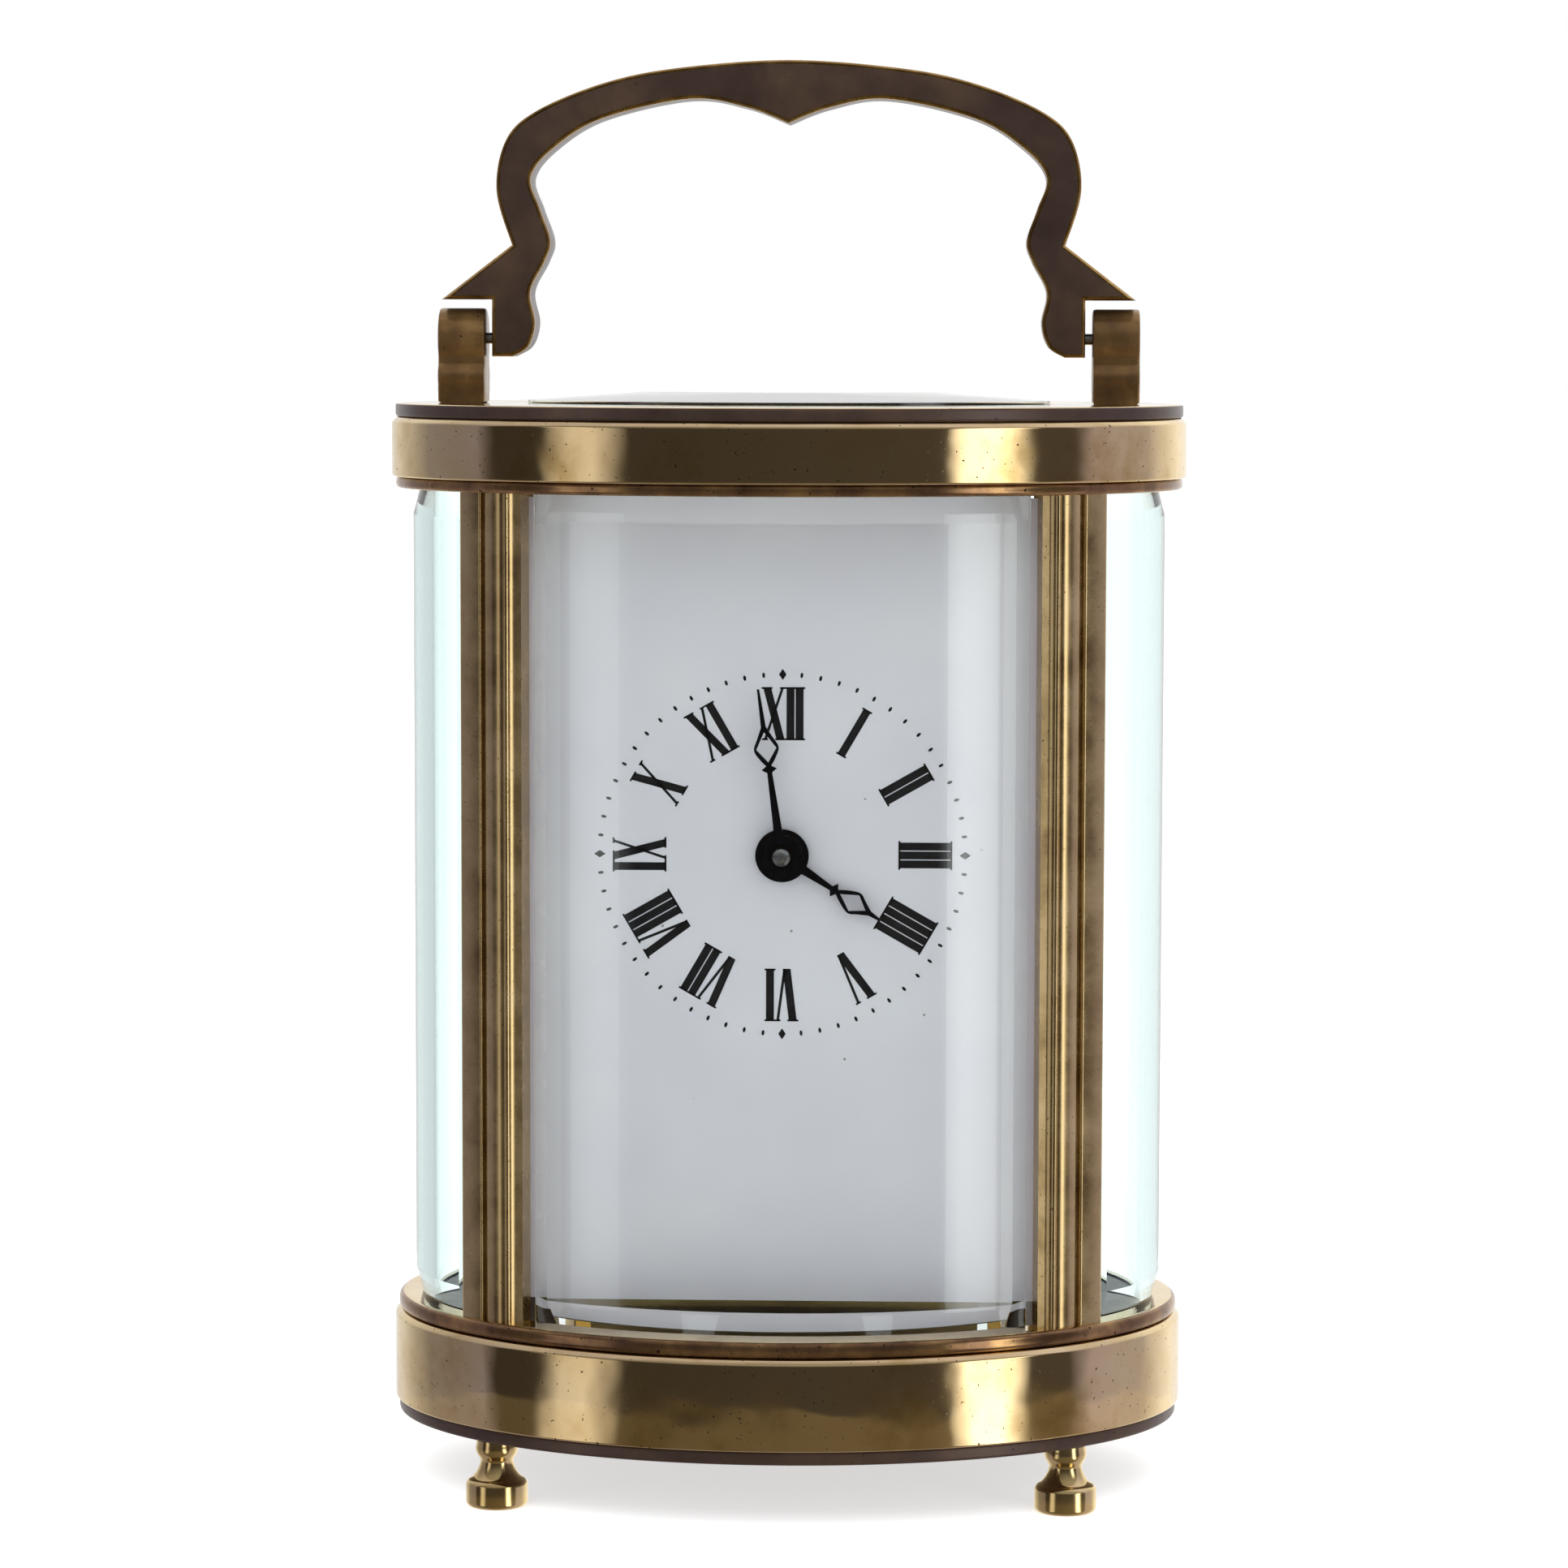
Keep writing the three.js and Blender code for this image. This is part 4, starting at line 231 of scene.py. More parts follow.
def brushed_metal(name, dark, light, grain_mm, gloss, direction):
    """Metal with a fine straight grain along one axis."""
    material, tree, shader, place = new_material(name)
    drawn = add_node(tree, "ShaderNodeMapping", {"Vector": place, "Scale": direction}).outputs["Vector"]
    grain = noise(tree, drawn, grain_mm * MM, GRAIN_DETAIL)
    tone = ramp(tree, grain, zip(TONE_RANGE, (dark, light)))
    rough = remap(tree, grain, (0.0, 1.0), gloss)
    feed(tree, shader, {"Base Color": tone, "Roughness": rough, "Metallic": 1.0})
    return material


# Hardened steel of arbors, ratchet, lever and springs: cool grey with a straight polishing grain
STEEL = brushed_metal("polished_steel", "#A4A6AA", "#BCBEC2", 0.35, (0.18, 0.28), (1.0, 0.15, 1.0))
# Steel blued by heat: nearly black, with a deep blue where it catches light
BLUED_STEEL = brushed_metal("heat_blued_steel", "#0C0E15", "#1B2030", 0.6, (0.22, 0.4), (1.0, 1.0, 0.3))

# The faint film on glass, its own colour, and the colour of its depth
FILM_SIZE = 14 * MM
FILM_DETAIL = 3.0
FILM_RANGE = (0.5, 0.8)
FILM_ROUGHNESS = (0.0, 0.006)
GLASS_TONE = "#FAFFFE"
GLASS_DEPTH_TONE = "#B8EAE6"


def bevelled_glass(name, depth_of_tint, bend, shine=0.0):
    """Plate glass, ground and polished: clear across its thickness, sea green along its edges."""
    material, tree, shader, place = new_material(name)
    film = remap(tree, noise(tree, place, FILM_SIZE, FILM_DETAIL), FILM_RANGE, FILM_ROUGHNESS)
    feed(tree, shader, {
        "Base Color": linear(GLASS_TONE), "Roughness": film, "IOR": bend, "Transmission Weight": 1.0,
        "Coat Weight": shine})
    tint = add_node(tree, "ShaderNodeVolumeAbsorption", {
        "Color": linear(GLASS_DEPTH_TONE), "Density": depth_of_tint})
    feed(tree, tree.nodes["Material Output"], {"Volume": tint.outputs["Volume"]})
    return material


# Thin clear plate of the front and the door
GLASS = bevelled_glass("clear_plate_glass", 14.0, 1.46)
# The sides are greener when seen along them. They and the top, which is seen nearly edge on, bend light
# less than plate glass does: in the real ones light that runs to and fro inside keeps them white
SIDE_GLASS = bevelled_glass("green_plate_glass", 46.0, 1.2, 0.15)
TOP_GLASS = bevelled_glass("clear_top_glass", 8.0, 1.08, 0.8)

# Enamel: its clouds, its specks and its two surfaces
CLOUD_DETAIL = 2.0
SPECK_SPACING = 5 * MM
SPECK_SIZE = 0.03
ENAMEL_ROUGHNESS = 0.22
ENAMEL_COAT_ROUGHNESS = 0.08


def fired_enamel(name, tones, cloud_mm, speck_tone, coat=0.5):
    """Glassy enamel: slow clouds of tone, a few fine specks from the firing, and a smooth coat."""
    material, tree, shader, place = new_material(name)
    tone = ramp(tree, noise(tree, place, cloud_mm * MM, CLOUD_DETAIL), zip(TONE_RANGE, tones))
    specks = add_node(tree, "ShaderNodeTexVoronoi", {"Vector": place, "Scale": 1 / SPECK_SPACING})
    speck = reckon(tree, "LESS_THAN", specks.outputs["Distance"], SPECK_SIZE)
    feed(tree, shader, {
        "Base Color": blend(tree, speck, tone, linear(speck_tone)), "Roughness": ENAMEL_ROUGHNESS,
        "Coat Weight": coat, "Coat Roughness": ENAMEL_COAT_ROUGHNESS})
    return material


# White enamel on copper: cool white, a little uneven, glossy
ENAMEL = fired_enamel("fired_white_enamel", ("#E0D9E3", "#E7E1E8"), 16, "#9A9790")
# Black enamel paint of the dial's figures, fired on: very slightly brown where it is thin
PRINT = fired_enamel("fired_black_enamel", ("#121216", "#1E1C1F"), 2, "#2A2422", coat=0.0)
# Synthetic ruby of the jewel holes: deep red and polished
RUBY = fired_enamel("polished_ruby", ("#7A0E22", "#A3182F"), 0.8, "#C23A50")
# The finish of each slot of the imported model
SLOT_FINISH = {"polished_brass": CASE_BRASS, "aged_brass": PATINA_BRASS, "movement_brass": MOVEMENT_BRASS,
               "steel": STEEL, "blued_steel": BLUED_STEEL, "glass": GLASS, "enamel": ENAMEL}

REPLACED = set()
WELD = 1e-7


def new_object(name, data):
    """An object that stands in the scene."""
    made = bpy.data.objects.new(name, data)
    bpy.context.scene.collection.objects.link(made)
    return made


def finish_piece(name, mesh, material, node, sharp=35):
    """Links a mesh with its material, or list of them, as a piece that rides with a node's body."""
    work = bmesh.new()
    work.from_mesh(mesh)
    bmesh.ops.remove_doubles(work, verts=work.verts, dist=WELD)
    bmesh.ops.recalc_face_normals(work, faces=work.faces)
    work.to_mesh(mesh)
    work.free()
    mesh.shade_smooth()
    mesh.set_sharp_from_angle(angle=math.radians(sharp))
    for one in material if isinstance(material, list) else [material]:
        mesh.materials.append(one)
    piece = new_object(name, mesh)
    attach(piece, BODY_OF[node])
    return piece


def stand_in(node, mesh, material, sharp=35):
    """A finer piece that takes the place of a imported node."""
    piece = finish_piece(node + "_fine", mesh, material, node, sharp)
    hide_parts(node)
    REPLACED.add(node)


def mesh_of(name, points, faces):
    """A mesh from points and faces."""
    mesh = bpy.data.meshes.new(name)
    mesh.from_pydata([tuple(p) for p in points], [], faces)
    return mesh


def grid_mesh(name, rows, along=False, caps=False):
    """Faces over closed rows of points: along joins the last row to the first, caps close both ends."""
    width = len(rows[0])
    points = [p for row in rows for p in row]
    faces = []
    for r in range(len(rows) if along else len(rows) - 1):
        for i in range(width):
            k, s = (i + 1) % width, (r + 1) % len(rows)
            faces.append((r * width + i, r * width + k, s * width + k, s * width + i))
    if caps:
        faces.append(tuple(range(width)))
        faces.append(tuple(range((len(rows) - 1) * width, len(rows) * width)))
    return mesh_of(name, points, faces)


# The most of an edge that the rounding of one corner takes
ROUNDING_SHARE = 0.45


def eased(corners, radius, closed=True, steps=4):
    """A polygon whose corners are rounded by up to the radius."""
    points = []
    count = len(corners)
    for i, corner in enumerate(corners):
        if not closed and i in (0, count - 1):
            points.append(corner)
            continue
        here = Vector(corner)
        before, after = Vector(corners[i - 1]), Vector(corners[(i + 1) % count])
        shortest = min((before - here).length, (after - here).length)
        cut = min(radius, ROUNDING_SHARE * shortest)
        start = here + (before - here).normalized() * cut
        end = here + (after - here).normalized() * cut
        for k in range(steps + 1):
            t = k / steps
            points.append(tuple(start * (1 - t) ** 2 + here * 2 * t * (1 - t) + end * t ** 2))
    return points


def spline(points, steps=10):
    """A smooth line through points (Catmull-Rom), with the first and last kept."""
    line = []
    for i in range(len(points) - 1):
        p1, p2 = Vector(points[i]), Vector(points[i + 1])
        p0 = Vector(points[i - 1]) if i else p1
        p3 = Vector(points[i + 2]) if i + 2 < len(points) else p2
        slope1, slope2 = (p2 - p0) / 2, (p3 - p1) / 2
        for k in range(steps):
            t = k / steps
            line.append(p1 * (2 * t ** 3 - 3 * t ** 2 + 1) + slope1 * (t ** 3 - 2 * t ** 2 + t)
                        + p2 * (3 * t ** 2 - 2 * t ** 3) + slope2 * (t ** 3 - t ** 2))
    return [tuple(p) for p in line] + [tuple(points[-1])]


AXIS_PLACES = {"x": lambda u, v, t: (t, u, v), "y": lambda u, v, t: (u, t, v)}
RIM_FULLNESS = 0.6


def prism(name, outline, axis, start, end, ease, rim_slot=0, segments=2):
    """An outline drawn out along an axis, with the rims of its two end faces eased."""
    at = AXIS_PLACES[axis]
    rows = [[at(*p[:2], t) for p in outline] for t in (start, end)]
    mesh = grid_mesh(name, rows, caps=True)
    work = bmesh.new()
    work.from_mesh(mesh)
    bmesh.ops.recalc_face_normals(work, faces=work.faces)
    caps = [f for f in work.faces if len(f.verts) == len(outline)]
    rims = [edge for face in caps for edge in face.edges]
    bmesh.ops.bevel(work, geom=rims, offset=ease, segments=segments, profile=RIM_FULLNESS, affect="EDGES",
                    clamp_overlap=True, material=rim_slot)
    work.to_mesh(mesh)
    work.free()
    return mesh


def spaced(start, end, steps):
    """Evenly spaced values from start to end, with both."""
    return [start + (end - start) * i / steps for i in range(steps + 1)]


def full_turn(steps):
    """Evenly spaced angles once round."""
    return [2 * math.pi * i / steps for i in range(steps)]


def lathe(name, profile, place, steps=72):
    """A turned piece: profile points are (radius, height), from axis to axis."""
    rows = []
    for radius, height in profile:
        ring = [Vector((radius * math.cos(a), radius * math.sin(a), height)) for a in full_turn(steps)]
        rows.append([point + Vector(place) for point in ring])
    return grid_mesh(name, rows)


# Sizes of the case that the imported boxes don't give, in millimetres as on the drawing
OVAL_STEPS = 240
PLATE_INSET = 0.4 * MM
PLATE_LAP = 4 * MM
EDGE_EASE = 0.35 * MM
LIP_ROUND = 0.8 * MM
LIP_STEPS = 8
BAND_WALL = 2 * MM
BAND_UPPER_BEVEL = 0.55 * MM
BAND_LOWER_BEVEL = 0.16 * MM
LIP_OPENING = 10 * MM
TOP_OPENING = 13 * MM
GLASS_INSET = 2.2 * MM
GLASS_THICKNESS = 2.2 * MM
GLASS_BEVEL = 2.7 * MM
GLASS_SHARP = 9
FRONT_BEVEL_DEPTH = 1.8 * MM
SIDE_BEVEL_DEPTH = 0.7 * MM
TOP_GLASS_BEVEL = 12 * MM
TOP_GLASS_SHARP = 4
SEAT_GAP = 0.3 * MM
# Corners of the case, with the signs of their x and y
CORNERS = [("front_left", -1, -1), ("rear_left", -1, 1), ("front_right", 1, -1), ("rear_right", 1, 1)]


def heights(node):
    """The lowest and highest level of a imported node."""
    low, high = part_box(node)
    return low.z, high.z


def middle_of(node):
    """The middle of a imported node."""
    low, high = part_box(node)
    return (low + high) / 2


def oval_row(half_width, half_depth, z):
    """Points round an oval at one height."""
    return [(half_width * math.cos(a), half_depth * math.sin(a), z) for a in full_turn(OVAL_STEPS)]


def oval_piece(node, profile, material, ring=True, polished_below=False):
    """A profile of [inset, height] carried round the oval: a ring, or a solid plate with flat faces.
    Its flat side takes the second material, and the cap in the middle of a plate the third."""
    rows = [oval_row(HALF_WIDTH - inset, HALF_DEPTH - inset, z) for inset, z in profile]
    mesh = grid_mesh(node + "_fine", rows, along=ring, caps=not ring)
    levels = [z for _, z in profile]
    flat = min(levels) if polished_below else max(levels)
    for face in mesh.polygons:
        if max(abs(mesh.vertices[k].co.z - flat) for k in face.vertices) < EDGE_EASE / 4:
            face.material_index = 1 if len(face.vertices) == 4 else 2
    stand_in(node, mesh, material)


def band(node, wall):
    """A polished band whose upper edge has a broad bevel and whose lower edge has a small one."""
    z0, z1 = heights(node)
    corners = [(wall, z0), (BAND_LOWER_BEVEL, z0), (0, z0 + BAND_LOWER_BEVEL), (0, z1 - BAND_UPPER_BEVEL),
               (BAND_UPPER_BEVEL, z1), (wall, z1)]
    oval_piece(node, eased(corners, EDGE_EASE / 2), [CASE_BRASS] * 2)


def plate_corners(node, inner):
    """Section of a plate, from its inner edge out to its rim and back."""
    z0, z1 = heights(node)
    return [(inner, z0), (PLATE_INSET, z0), (PLATE_INSET, z1), (inner, z1)]


def case_plates():
    """The plates and bands of the base and of the top."""
    lowest = eased(plate_corners("base_bottom_plate", PLATE_LAP), EDGE_EASE, closed=False)
    oval_piece("base_bottom_plate", lowest, [PATINA_BRASS] * 3, ring=False)
    band("base_band", BAND_WALL)
    lip = eased(plate_corners("base_top_plate", PLATE_LAP), LIP_ROUND, closed=False, steps=LIP_STEPS)
    oval_piece("base_top_plate", lip, [LIP_BRASS, CASE_BRASS, PATINA_BRASS], ring=False)
    lip = eased(plate_corners("top_lip_plate", LIP_OPENING), LIP_ROUND, steps=LIP_STEPS)
    oval_piece("top_lip_plate", lip, [LIP_BRASS, CASE_BRASS], polished_below=True)
    band("top_band", TOP_OPENING)
    for_glass = HALF_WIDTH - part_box("top_glass")[1].x - SEAT_GAP
    highest = eased(plate_corners("top_plate", for_glass), EDGE_EASE)
    oval_piece("top_plate", highest, [PATINA_BRASS, CASE_BRASS])


def oval_outward(angle):
    """The direction square to the case oval."""
    return Vector((math.cos(angle) / HALF_WIDTH, math.sin(angle) / HALF_DEPTH, 0)).normalized()


def on_oval(angle, inset, z):
    """A point set in square to the case oval."""
    out = oval_outward(angle)
    return Vector((HALF_WIDTH * math.cos(angle), HALF_DEPTH * math.sin(angle), z)) - out * inset


def oval_angle(length, angle, inset):
    """The angle that a length along the oval takes."""
    across, deep = HALF_WIDTH - inset, HALF_DEPTH - inset
    return length / math.hypot(across * math.sin(angle), deep * math.cos(angle))


def curved_pane(start, end, z0, z1, inset, thickness, bevel, depth, steps=48):
    """A curved pane as one closed mesh, its outer face bevelled along all four edges."""
    first = start + oval_angle(bevel, start, inset)
    last = end - oval_angle(bevel, end, inset)
    angles = [start, *spaced(first, last, steps), end]
    levels = [z0, z0 + bevel, z1 - bevel, z1]
    rows = []
    for i, angle in enumerate(angles):
        at_end = i in (0, len(angles) - 1)
        sunk = [depth if at_end or z in (z0, z1) else 0 for z in levels]
        outer = [on_oval(angle, inset + deep, z) for deep, z in zip(sunk, levels)]
        inner = [on_oval(angle, inset + thickness, z) for z in reversed(levels)]
        rows.append(outer + inner)
    return grid_mesh("pane", rows, caps=True)


# The columns in millimetres, as drawn through their section
COLUMN_BEARING = math.radians(43)
COLUMN_PROUD = 1 * MM
COLUMN_FLANGE_GAP = 0.12 * MM
COLUMN_WEB_HALF = 3.2 * MM
COLUMN_WEB_DEPTH = 3.4 * MM
COLUMN_WEB_BACK = 1.4 * MM
COLUMN_REED_DEPTH = 0.5 * MM
COLUMN_HALF = 4.2 * MM
COLUMN_STRIP = 2.9 * MM
COLUMN_GROOVE = 0.25 * MM
COLUMN_REEDS = [width * MM for width in (2.7, 0.7)]
COLUMN_SLOPE = 0.3 * MM
COLUMN_LEDGE = 1.1 * MM
REED_STEPS = 16


def glasses():
    """The front glass, the two side glasses and the raised oval glass of the top."""
    edge = oval_angle(COLUMN_WEB_HALF + SEAT_GAP, COLUMN_BEARING, GLASS_INSET)
    side, front = COLUMN_BEARING - edge, COLUMN_BEARING + edge
    panes = {
        "front_glass": (front - math.pi, -front, FRONT_BEVEL_DEPTH, GLASS),
        "right_glass": (-side, side, SIDE_BEVEL_DEPTH, SIDE_GLASS),
        "left_glass": (math.pi - side, math.pi + side, SIDE_BEVEL_DEPTH, SIDE_GLASS),
    }
    for node, (start, end, depth, glass) in panes.items():
        mesh = curved_pane(start, end, FLOOR_Z, CEILING_Z, GLASS_INSET, GLASS_THICKNESS, GLASS_BEVEL, depth)
        stand_in(node, mesh, glass, GLASS_SHARP)
    low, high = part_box("top_glass")
    rim = ROOF_Z + EDGE_EASE
    profile = [(TOP_GLASS_BEVEL, low.z), (0, low.z), (0, rim), (TOP_GLASS_BEVEL, high.z)]
    rows = [oval_row(high.x - inset, high.y - inset, z) for inset, z in profile]
    mesh = grid_mesh("top_glass_fine", rows, caps=True)
    stand_in("top_glass", mesh, TOP_GLASS, TOP_GLASS_SHARP)


def column_section():
    """Outline of a column as (across, proud of the glass line): outer strip, groove, reed, bead, ledge
    and the slanted web behind them."""
    sunk = COLUMN_PROUD - COLUMN_REED_DEPTH
    start = COLUMN_HALF - COLUMN_STRIP
    strip = [(COLUMN_HALF, COLUMN_FLANGE_GAP), (COLUMN_HALF, COLUMN_PROUD),
             (start, COLUMN_PROUD), (start, sunk)]
    outline = eased(strip, COLUMN_REED_DEPTH, closed=False)
    start -= COLUMN_GROOVE
    turns = spaced(0, math.pi, REED_STEPS)
    for width in COLUMN_REEDS:
        half = width / 2
        outline += [(start - half + half * math.cos(t), sunk + COLUMN_REED_DEPTH * math.sin(t))
                    for t in turns]
        start -= width
    ledge = [(start - COLUMN_SLOPE, COLUMN_FLANGE_GAP), (start - COLUMN_LEDGE, 0)]
    web = [(-COLUMN_WEB_HALF, 0), (-COLUMN_WEB_BACK, -COLUMN_WEB_DEPTH),
           (COLUMN_WEB_HALF, -COLUMN_WEB_DEPTH), (COLUMN_WEB_HALF, COLUMN_FLANGE_GAP)]
    return outline + ledge + web


def columns():
    """The four columns, each the mirror image of its neighbours."""
    middle = on_oval(COLUMN_BEARING, GLASS_INSET, 0)
    out = oval_outward(COLUMN_BEARING)
    along = Vector((out.y, -out.x, 0))
    outline = [middle + out * proud + along * across for across, proud in column_section()]
    for corner, sx, sy in CORNERS:
        node = "column_" + corner
        rows = [[(sx * p.x, sy * p.y, z) for p in outline] for z in (FLOOR_Z, CEILING_Z)]
        stand_in(node, grid_mesh(node, rows, caps=True), COLUMN_BRASS, sharp=40)


# The rear door in millimetres: a curved frame, moulded towards its glass, with a turned knob
DOOR_INSET = 1.2 * MM
DOOR_THICKNESS = 2.6 * MM
DOOR_RAIL = 4 * MM
DOOR_REBATE = 1 * MM
DOOR_GLASS_THICKNESS = 1.4 * MM
DOOR_GLASS_BEVEL_DEPTH = 0.4 * MM
DOOR_SIDE_GAP = 5.1 * MM
DOOR_KNUCKLE = 1.3 * MM
DOOR_STEPS = 40
KNOB_STEPS = 40
KNUCKLE_STEPS = 32
DOOR_KNOB = [(0, -0.3), (0.9, -0.3), (0.9, 1), (1.8, 1.5), (1.8, 2.4), (0.9, 3), (0, 3)]


def door():
    """The door: its frame swept round the opening, the knuckle of its hinge, its pane and its knob."""
    start = COLUMN_BEARING + oval_angle(DOOR_SIDE_GAP, COLUMN_BEARING, DOOR_INSET)
    low, high = FLOOR_Z + SEAT_GAP, CEILING_Z - SEAT_GAP
    hinge = start + oval_angle(DOOR_KNUCKLE, start, DOOR_INSET)
    rail = oval_angle(DOOR_RAIL, start, DOOR_INSET)
    seat = DOOR_THICKNESS - DOOR_GLASS_THICKNESS - SEAT_GAP
    reach = DOOR_RAIL - DOOR_REBATE
    section = eased([(0, DOOR_THICKNESS), (0, 0), (reach, 0), (DOOR_RAIL, seat / 2), (DOOR_RAIL, seat),
                     (reach, seat), (reach, DOOR_THICKNESS)], EDGE_EASE / 2)
    rows = []
    for width, depth in section:
        share = width / DOOR_RAIL
        right, left = hinge + (start + rail - hinge) * share, math.pi - start - rail * share
        across = spaced(right, left, DOOR_STEPS)
        row = [on_oval(a, DOOR_INSET + depth, low + width) for a in across]
        rows.append(row + [on_oval(a, DOOR_INSET + depth, high - width) for a in reversed(across)])
    mesh = grid_mesh("door_frame_fine", rows, along=True)
    stand_in("door_frame", mesh, CASE_BRASS, sharp=25)
    pin = on_oval(hinge, DOOR_INSET + DOOR_KNUCKLE, 0)
    tube = [(0, low), (DOOR_KNUCKLE, low), (DOOR_KNUCKLE, high), (0, high)]
    knuckle = lathe("door_knuckle", tube, pin, KNUCKLE_STEPS)
    finish_piece("door_knuckle", knuckle, CASE_BRASS, "door_frame")
    inner = rail - oval_angle(DOOR_REBATE - SEAT_GAP, start, DOOR_INSET)
    lap = reach + SEAT_GAP
    pane = curved_pane(start + inner, math.pi - start - inner, low + lap, high - lap,
                       DOOR_INSET + DOOR_THICKNESS - DOOR_GLASS_THICKNESS, DOOR_GLASS_THICKNESS, GLASS_BEVEL,
                       DOOR_GLASS_BEVEL_DEPTH)
    stand_in("door_glass", pane, GLASS, GLASS_SHARP)
    at = math.pi - start - rail / 2
    turning = eased([(r * MM, h * MM) for r, h in DOOR_KNOB], EDGE_EASE, closed=False)
    knob = lathe("door_knob_fine", turning, (0, 0, 0), KNOB_STEPS)
    facing = oval_outward(at).to_track_quat("Z", "Y").to_matrix().to_4x4()
    knob.transform(Matrix.Translation(on_oval(at, DOOR_INSET, (low + high) / 2)) @ facing)
    stand_in("door_knob", knob, FOOT_BRASS)


# The handle in millimetres, as [distance, height over the pivot]. The crown and the cusp count from the
# middle of the handle, and all the rest counts inwards from the inner face of the lugs
HANDLE_CROWN = [(11.7, 27.75), (0, 28.6)]
HANDLE_CUSP = [(0, 22.1), (4.2, 23.7), (10.2, 24.6)]
HANDLE_WING = (-4.4, 4)
HANDLE_NOTCH = (2.9, 9.6)
HANDLE_OUTER = [(1.3, 15.2), (2.3, 20.4), (5.5, 23.4), (12.3, 26.2)]
HANDLE_ARCH = [(12.3, 22.6), (7.3, 19.6), (4.9, 16.6), (5.8, 13.4), (6.9, 10.1)]
HANDLE_KNOB = [(6.3, 7.9), (4.8, 4.8), (5.3, 1.6), (4.6, -0.8), (2.9, -1.9)]
HANDLE_LUG_GAP = 0.8
HANDLE_EASE = 0.55 * MM
HANDLE_EASE_STEPS = 3


def mirrored(points):
    """The same points on the left of the middle."""
    return [(-x, rise) for x, rise in points]


def handle():
    """The swing handle: a flat outline with a cusp under its crown, its rims painted lighter as a highlight.
    """
    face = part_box("handle_lug_right")[0].x / MM
    outer = [(face - inset, rise) for inset, rise in (HANDLE_NOTCH, *HANDLE_OUTER)]
    outer += HANDLE_CROWN
    outer += mirrored(reversed(outer[:-1]))
    inner = [*HANDLE_CUSP, *[(face - inset, rise) for inset, rise in (*HANDLE_ARCH, *HANDLE_KNOB)]]
    ends = [HANDLE_WING, (HANDLE_LUG_GAP, HANDLE_WING[1]), (HANDLE_LUG_GAP, HANDLE_KNOB[-1][1])]
    ends = [(face - inset, rise) for inset, rise in ends]
    line = spline(outer) + mirrored(ends)
    line += spline(mirrored(reversed(inner))) + spline(inner)[1:] + list(reversed(ends))
    low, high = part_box("handle")
    outline = [(x * MM, PIVOT_Z + rise * MM) for x, rise in line]
    # The eased rims take the second slot, a lighter brass that paints their highlight
    mesh = prism("handle_fine", outline, "y", low.y, high.y, HANDLE_EASE, rim_slot=1,
                 segments=HANDLE_EASE_STEPS)
    stand_in("handle", mesh, [PATINA_BRASS, RIM_HIGHLIGHT_BRASS], sharp=30)


# The lugs in millimetres: half widths of head, stem and bead, and two heights
LUG_HEAD = 3.1 * MM
LUG_STEM = 2.5 * MM
LUG_BEAD = 3.4 * MM
LUG_BEAD_HEIGHT = 2.2 * MM
LUG_FOOT_HEIGHT = 1.9 * MM
BEAD_STEPS = 8
HEAD_STEPS = 32


def lugs():
    """The two lugs that carry the handle: a foot, a bead, a stem and a round head."""
    foot = (LUG_STEM + LUG_BEAD) / 2
    bead_z = ROOF_Z + LUG_FOOT_HEIGHT
    swell = []
    for share in spaced(0, 1, BEAD_STEPS):
        half = foot + (LUG_BEAD - foot) * math.sin(math.pi * share) + (LUG_STEM - foot) * share
        swell.append((half, bead_z + LUG_BEAD_HEIGHT * share))
    neck = math.acos(LUG_STEM / LUG_HEAD)
    arc = spaced(-neck, math.pi + neck, HEAD_STEPS)
    head = [(LUG_HEAD * math.cos(a), PIVOT_Z + LUG_HEAD * math.sin(a)) for a in arc]
    outline = [(-foot, ROOF_Z), (foot, ROOF_Z), *swell, *head, *mirrored(reversed(swell))]
    for node in ("handle_lug_left", "handle_lug_right"):
        low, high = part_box(node)
        mesh = prism(node, outline, "x", low.x, high.x, EDGE_EASE)
        stand_in(node, mesh, LUG_BRASS, sharp=30)


# A foot's turning in millimetres, as (radius, height): disc, hollow skirt, waist, swelling collar
FOOT_TURNING = [(0, 0), (2.9, 0), (3.2, 0.35), (3.2, 2.4), (2.95, 2.75), (2.5, 3.0), (2.1, 3.5), (1.82, 4.1),
                (1.65, 4.7), (1.9, 5.15), (2.15, 5.6), (2.2, 6.1), (2.1, 6.5), (2.1, 7)]
FOOT_SPIGOT = 0.84 * MM


def feet():
    """Four turned feet, each with a spigot up into the base."""
    for corner, _, _ in CORNERS:
        node = "foot_" + corner
        at = middle_of(node)
        top = heights(node)[1]
        profile = [(r * MM, h * MM) for r, h in FOOT_TURNING]
        profile += [(FOOT_SPIGOT, profile[-1][1]), (FOOT_SPIGOT, top), (0, top)]
        rounded = eased(profile, EDGE_EASE, closed=False)
        stand_in(node, lathe(node, rounded, (at.x, at.y, 0)), FOOT_BRASS)


# Chapter ring in millimetres: figures stand with their heads outwards, inside a ring of minute marks
FIGURE_INNER = 11.7
FIGURE_HEIGHT = 5.4
FIGURE_STROKE = 0.8
FIGURE_HAIRLINE = 0.27
FIGURE_SERIF = 0.18
FIGURE_SERIF_REACH = 0.16
FIGURE_GAP = 0.05
FIGURE_WIDTHS = {"I": 0.86, "V": 2.4, "X": 2.45}
HOURS = ["XII", "I", "II", "III", "IIII", "V", "VI", "VII", "VIII", "IX", "X", "XI"]
PRINT_LAYER = 0.04 * MM
STROKE_FACES = [(0, 1, 2, 3), (4, 5, 6, 7), (0, 1, 5, 4), (1, 2, 6, 5), (2, 3, 7, 6), (3, 0, 4, 7)]


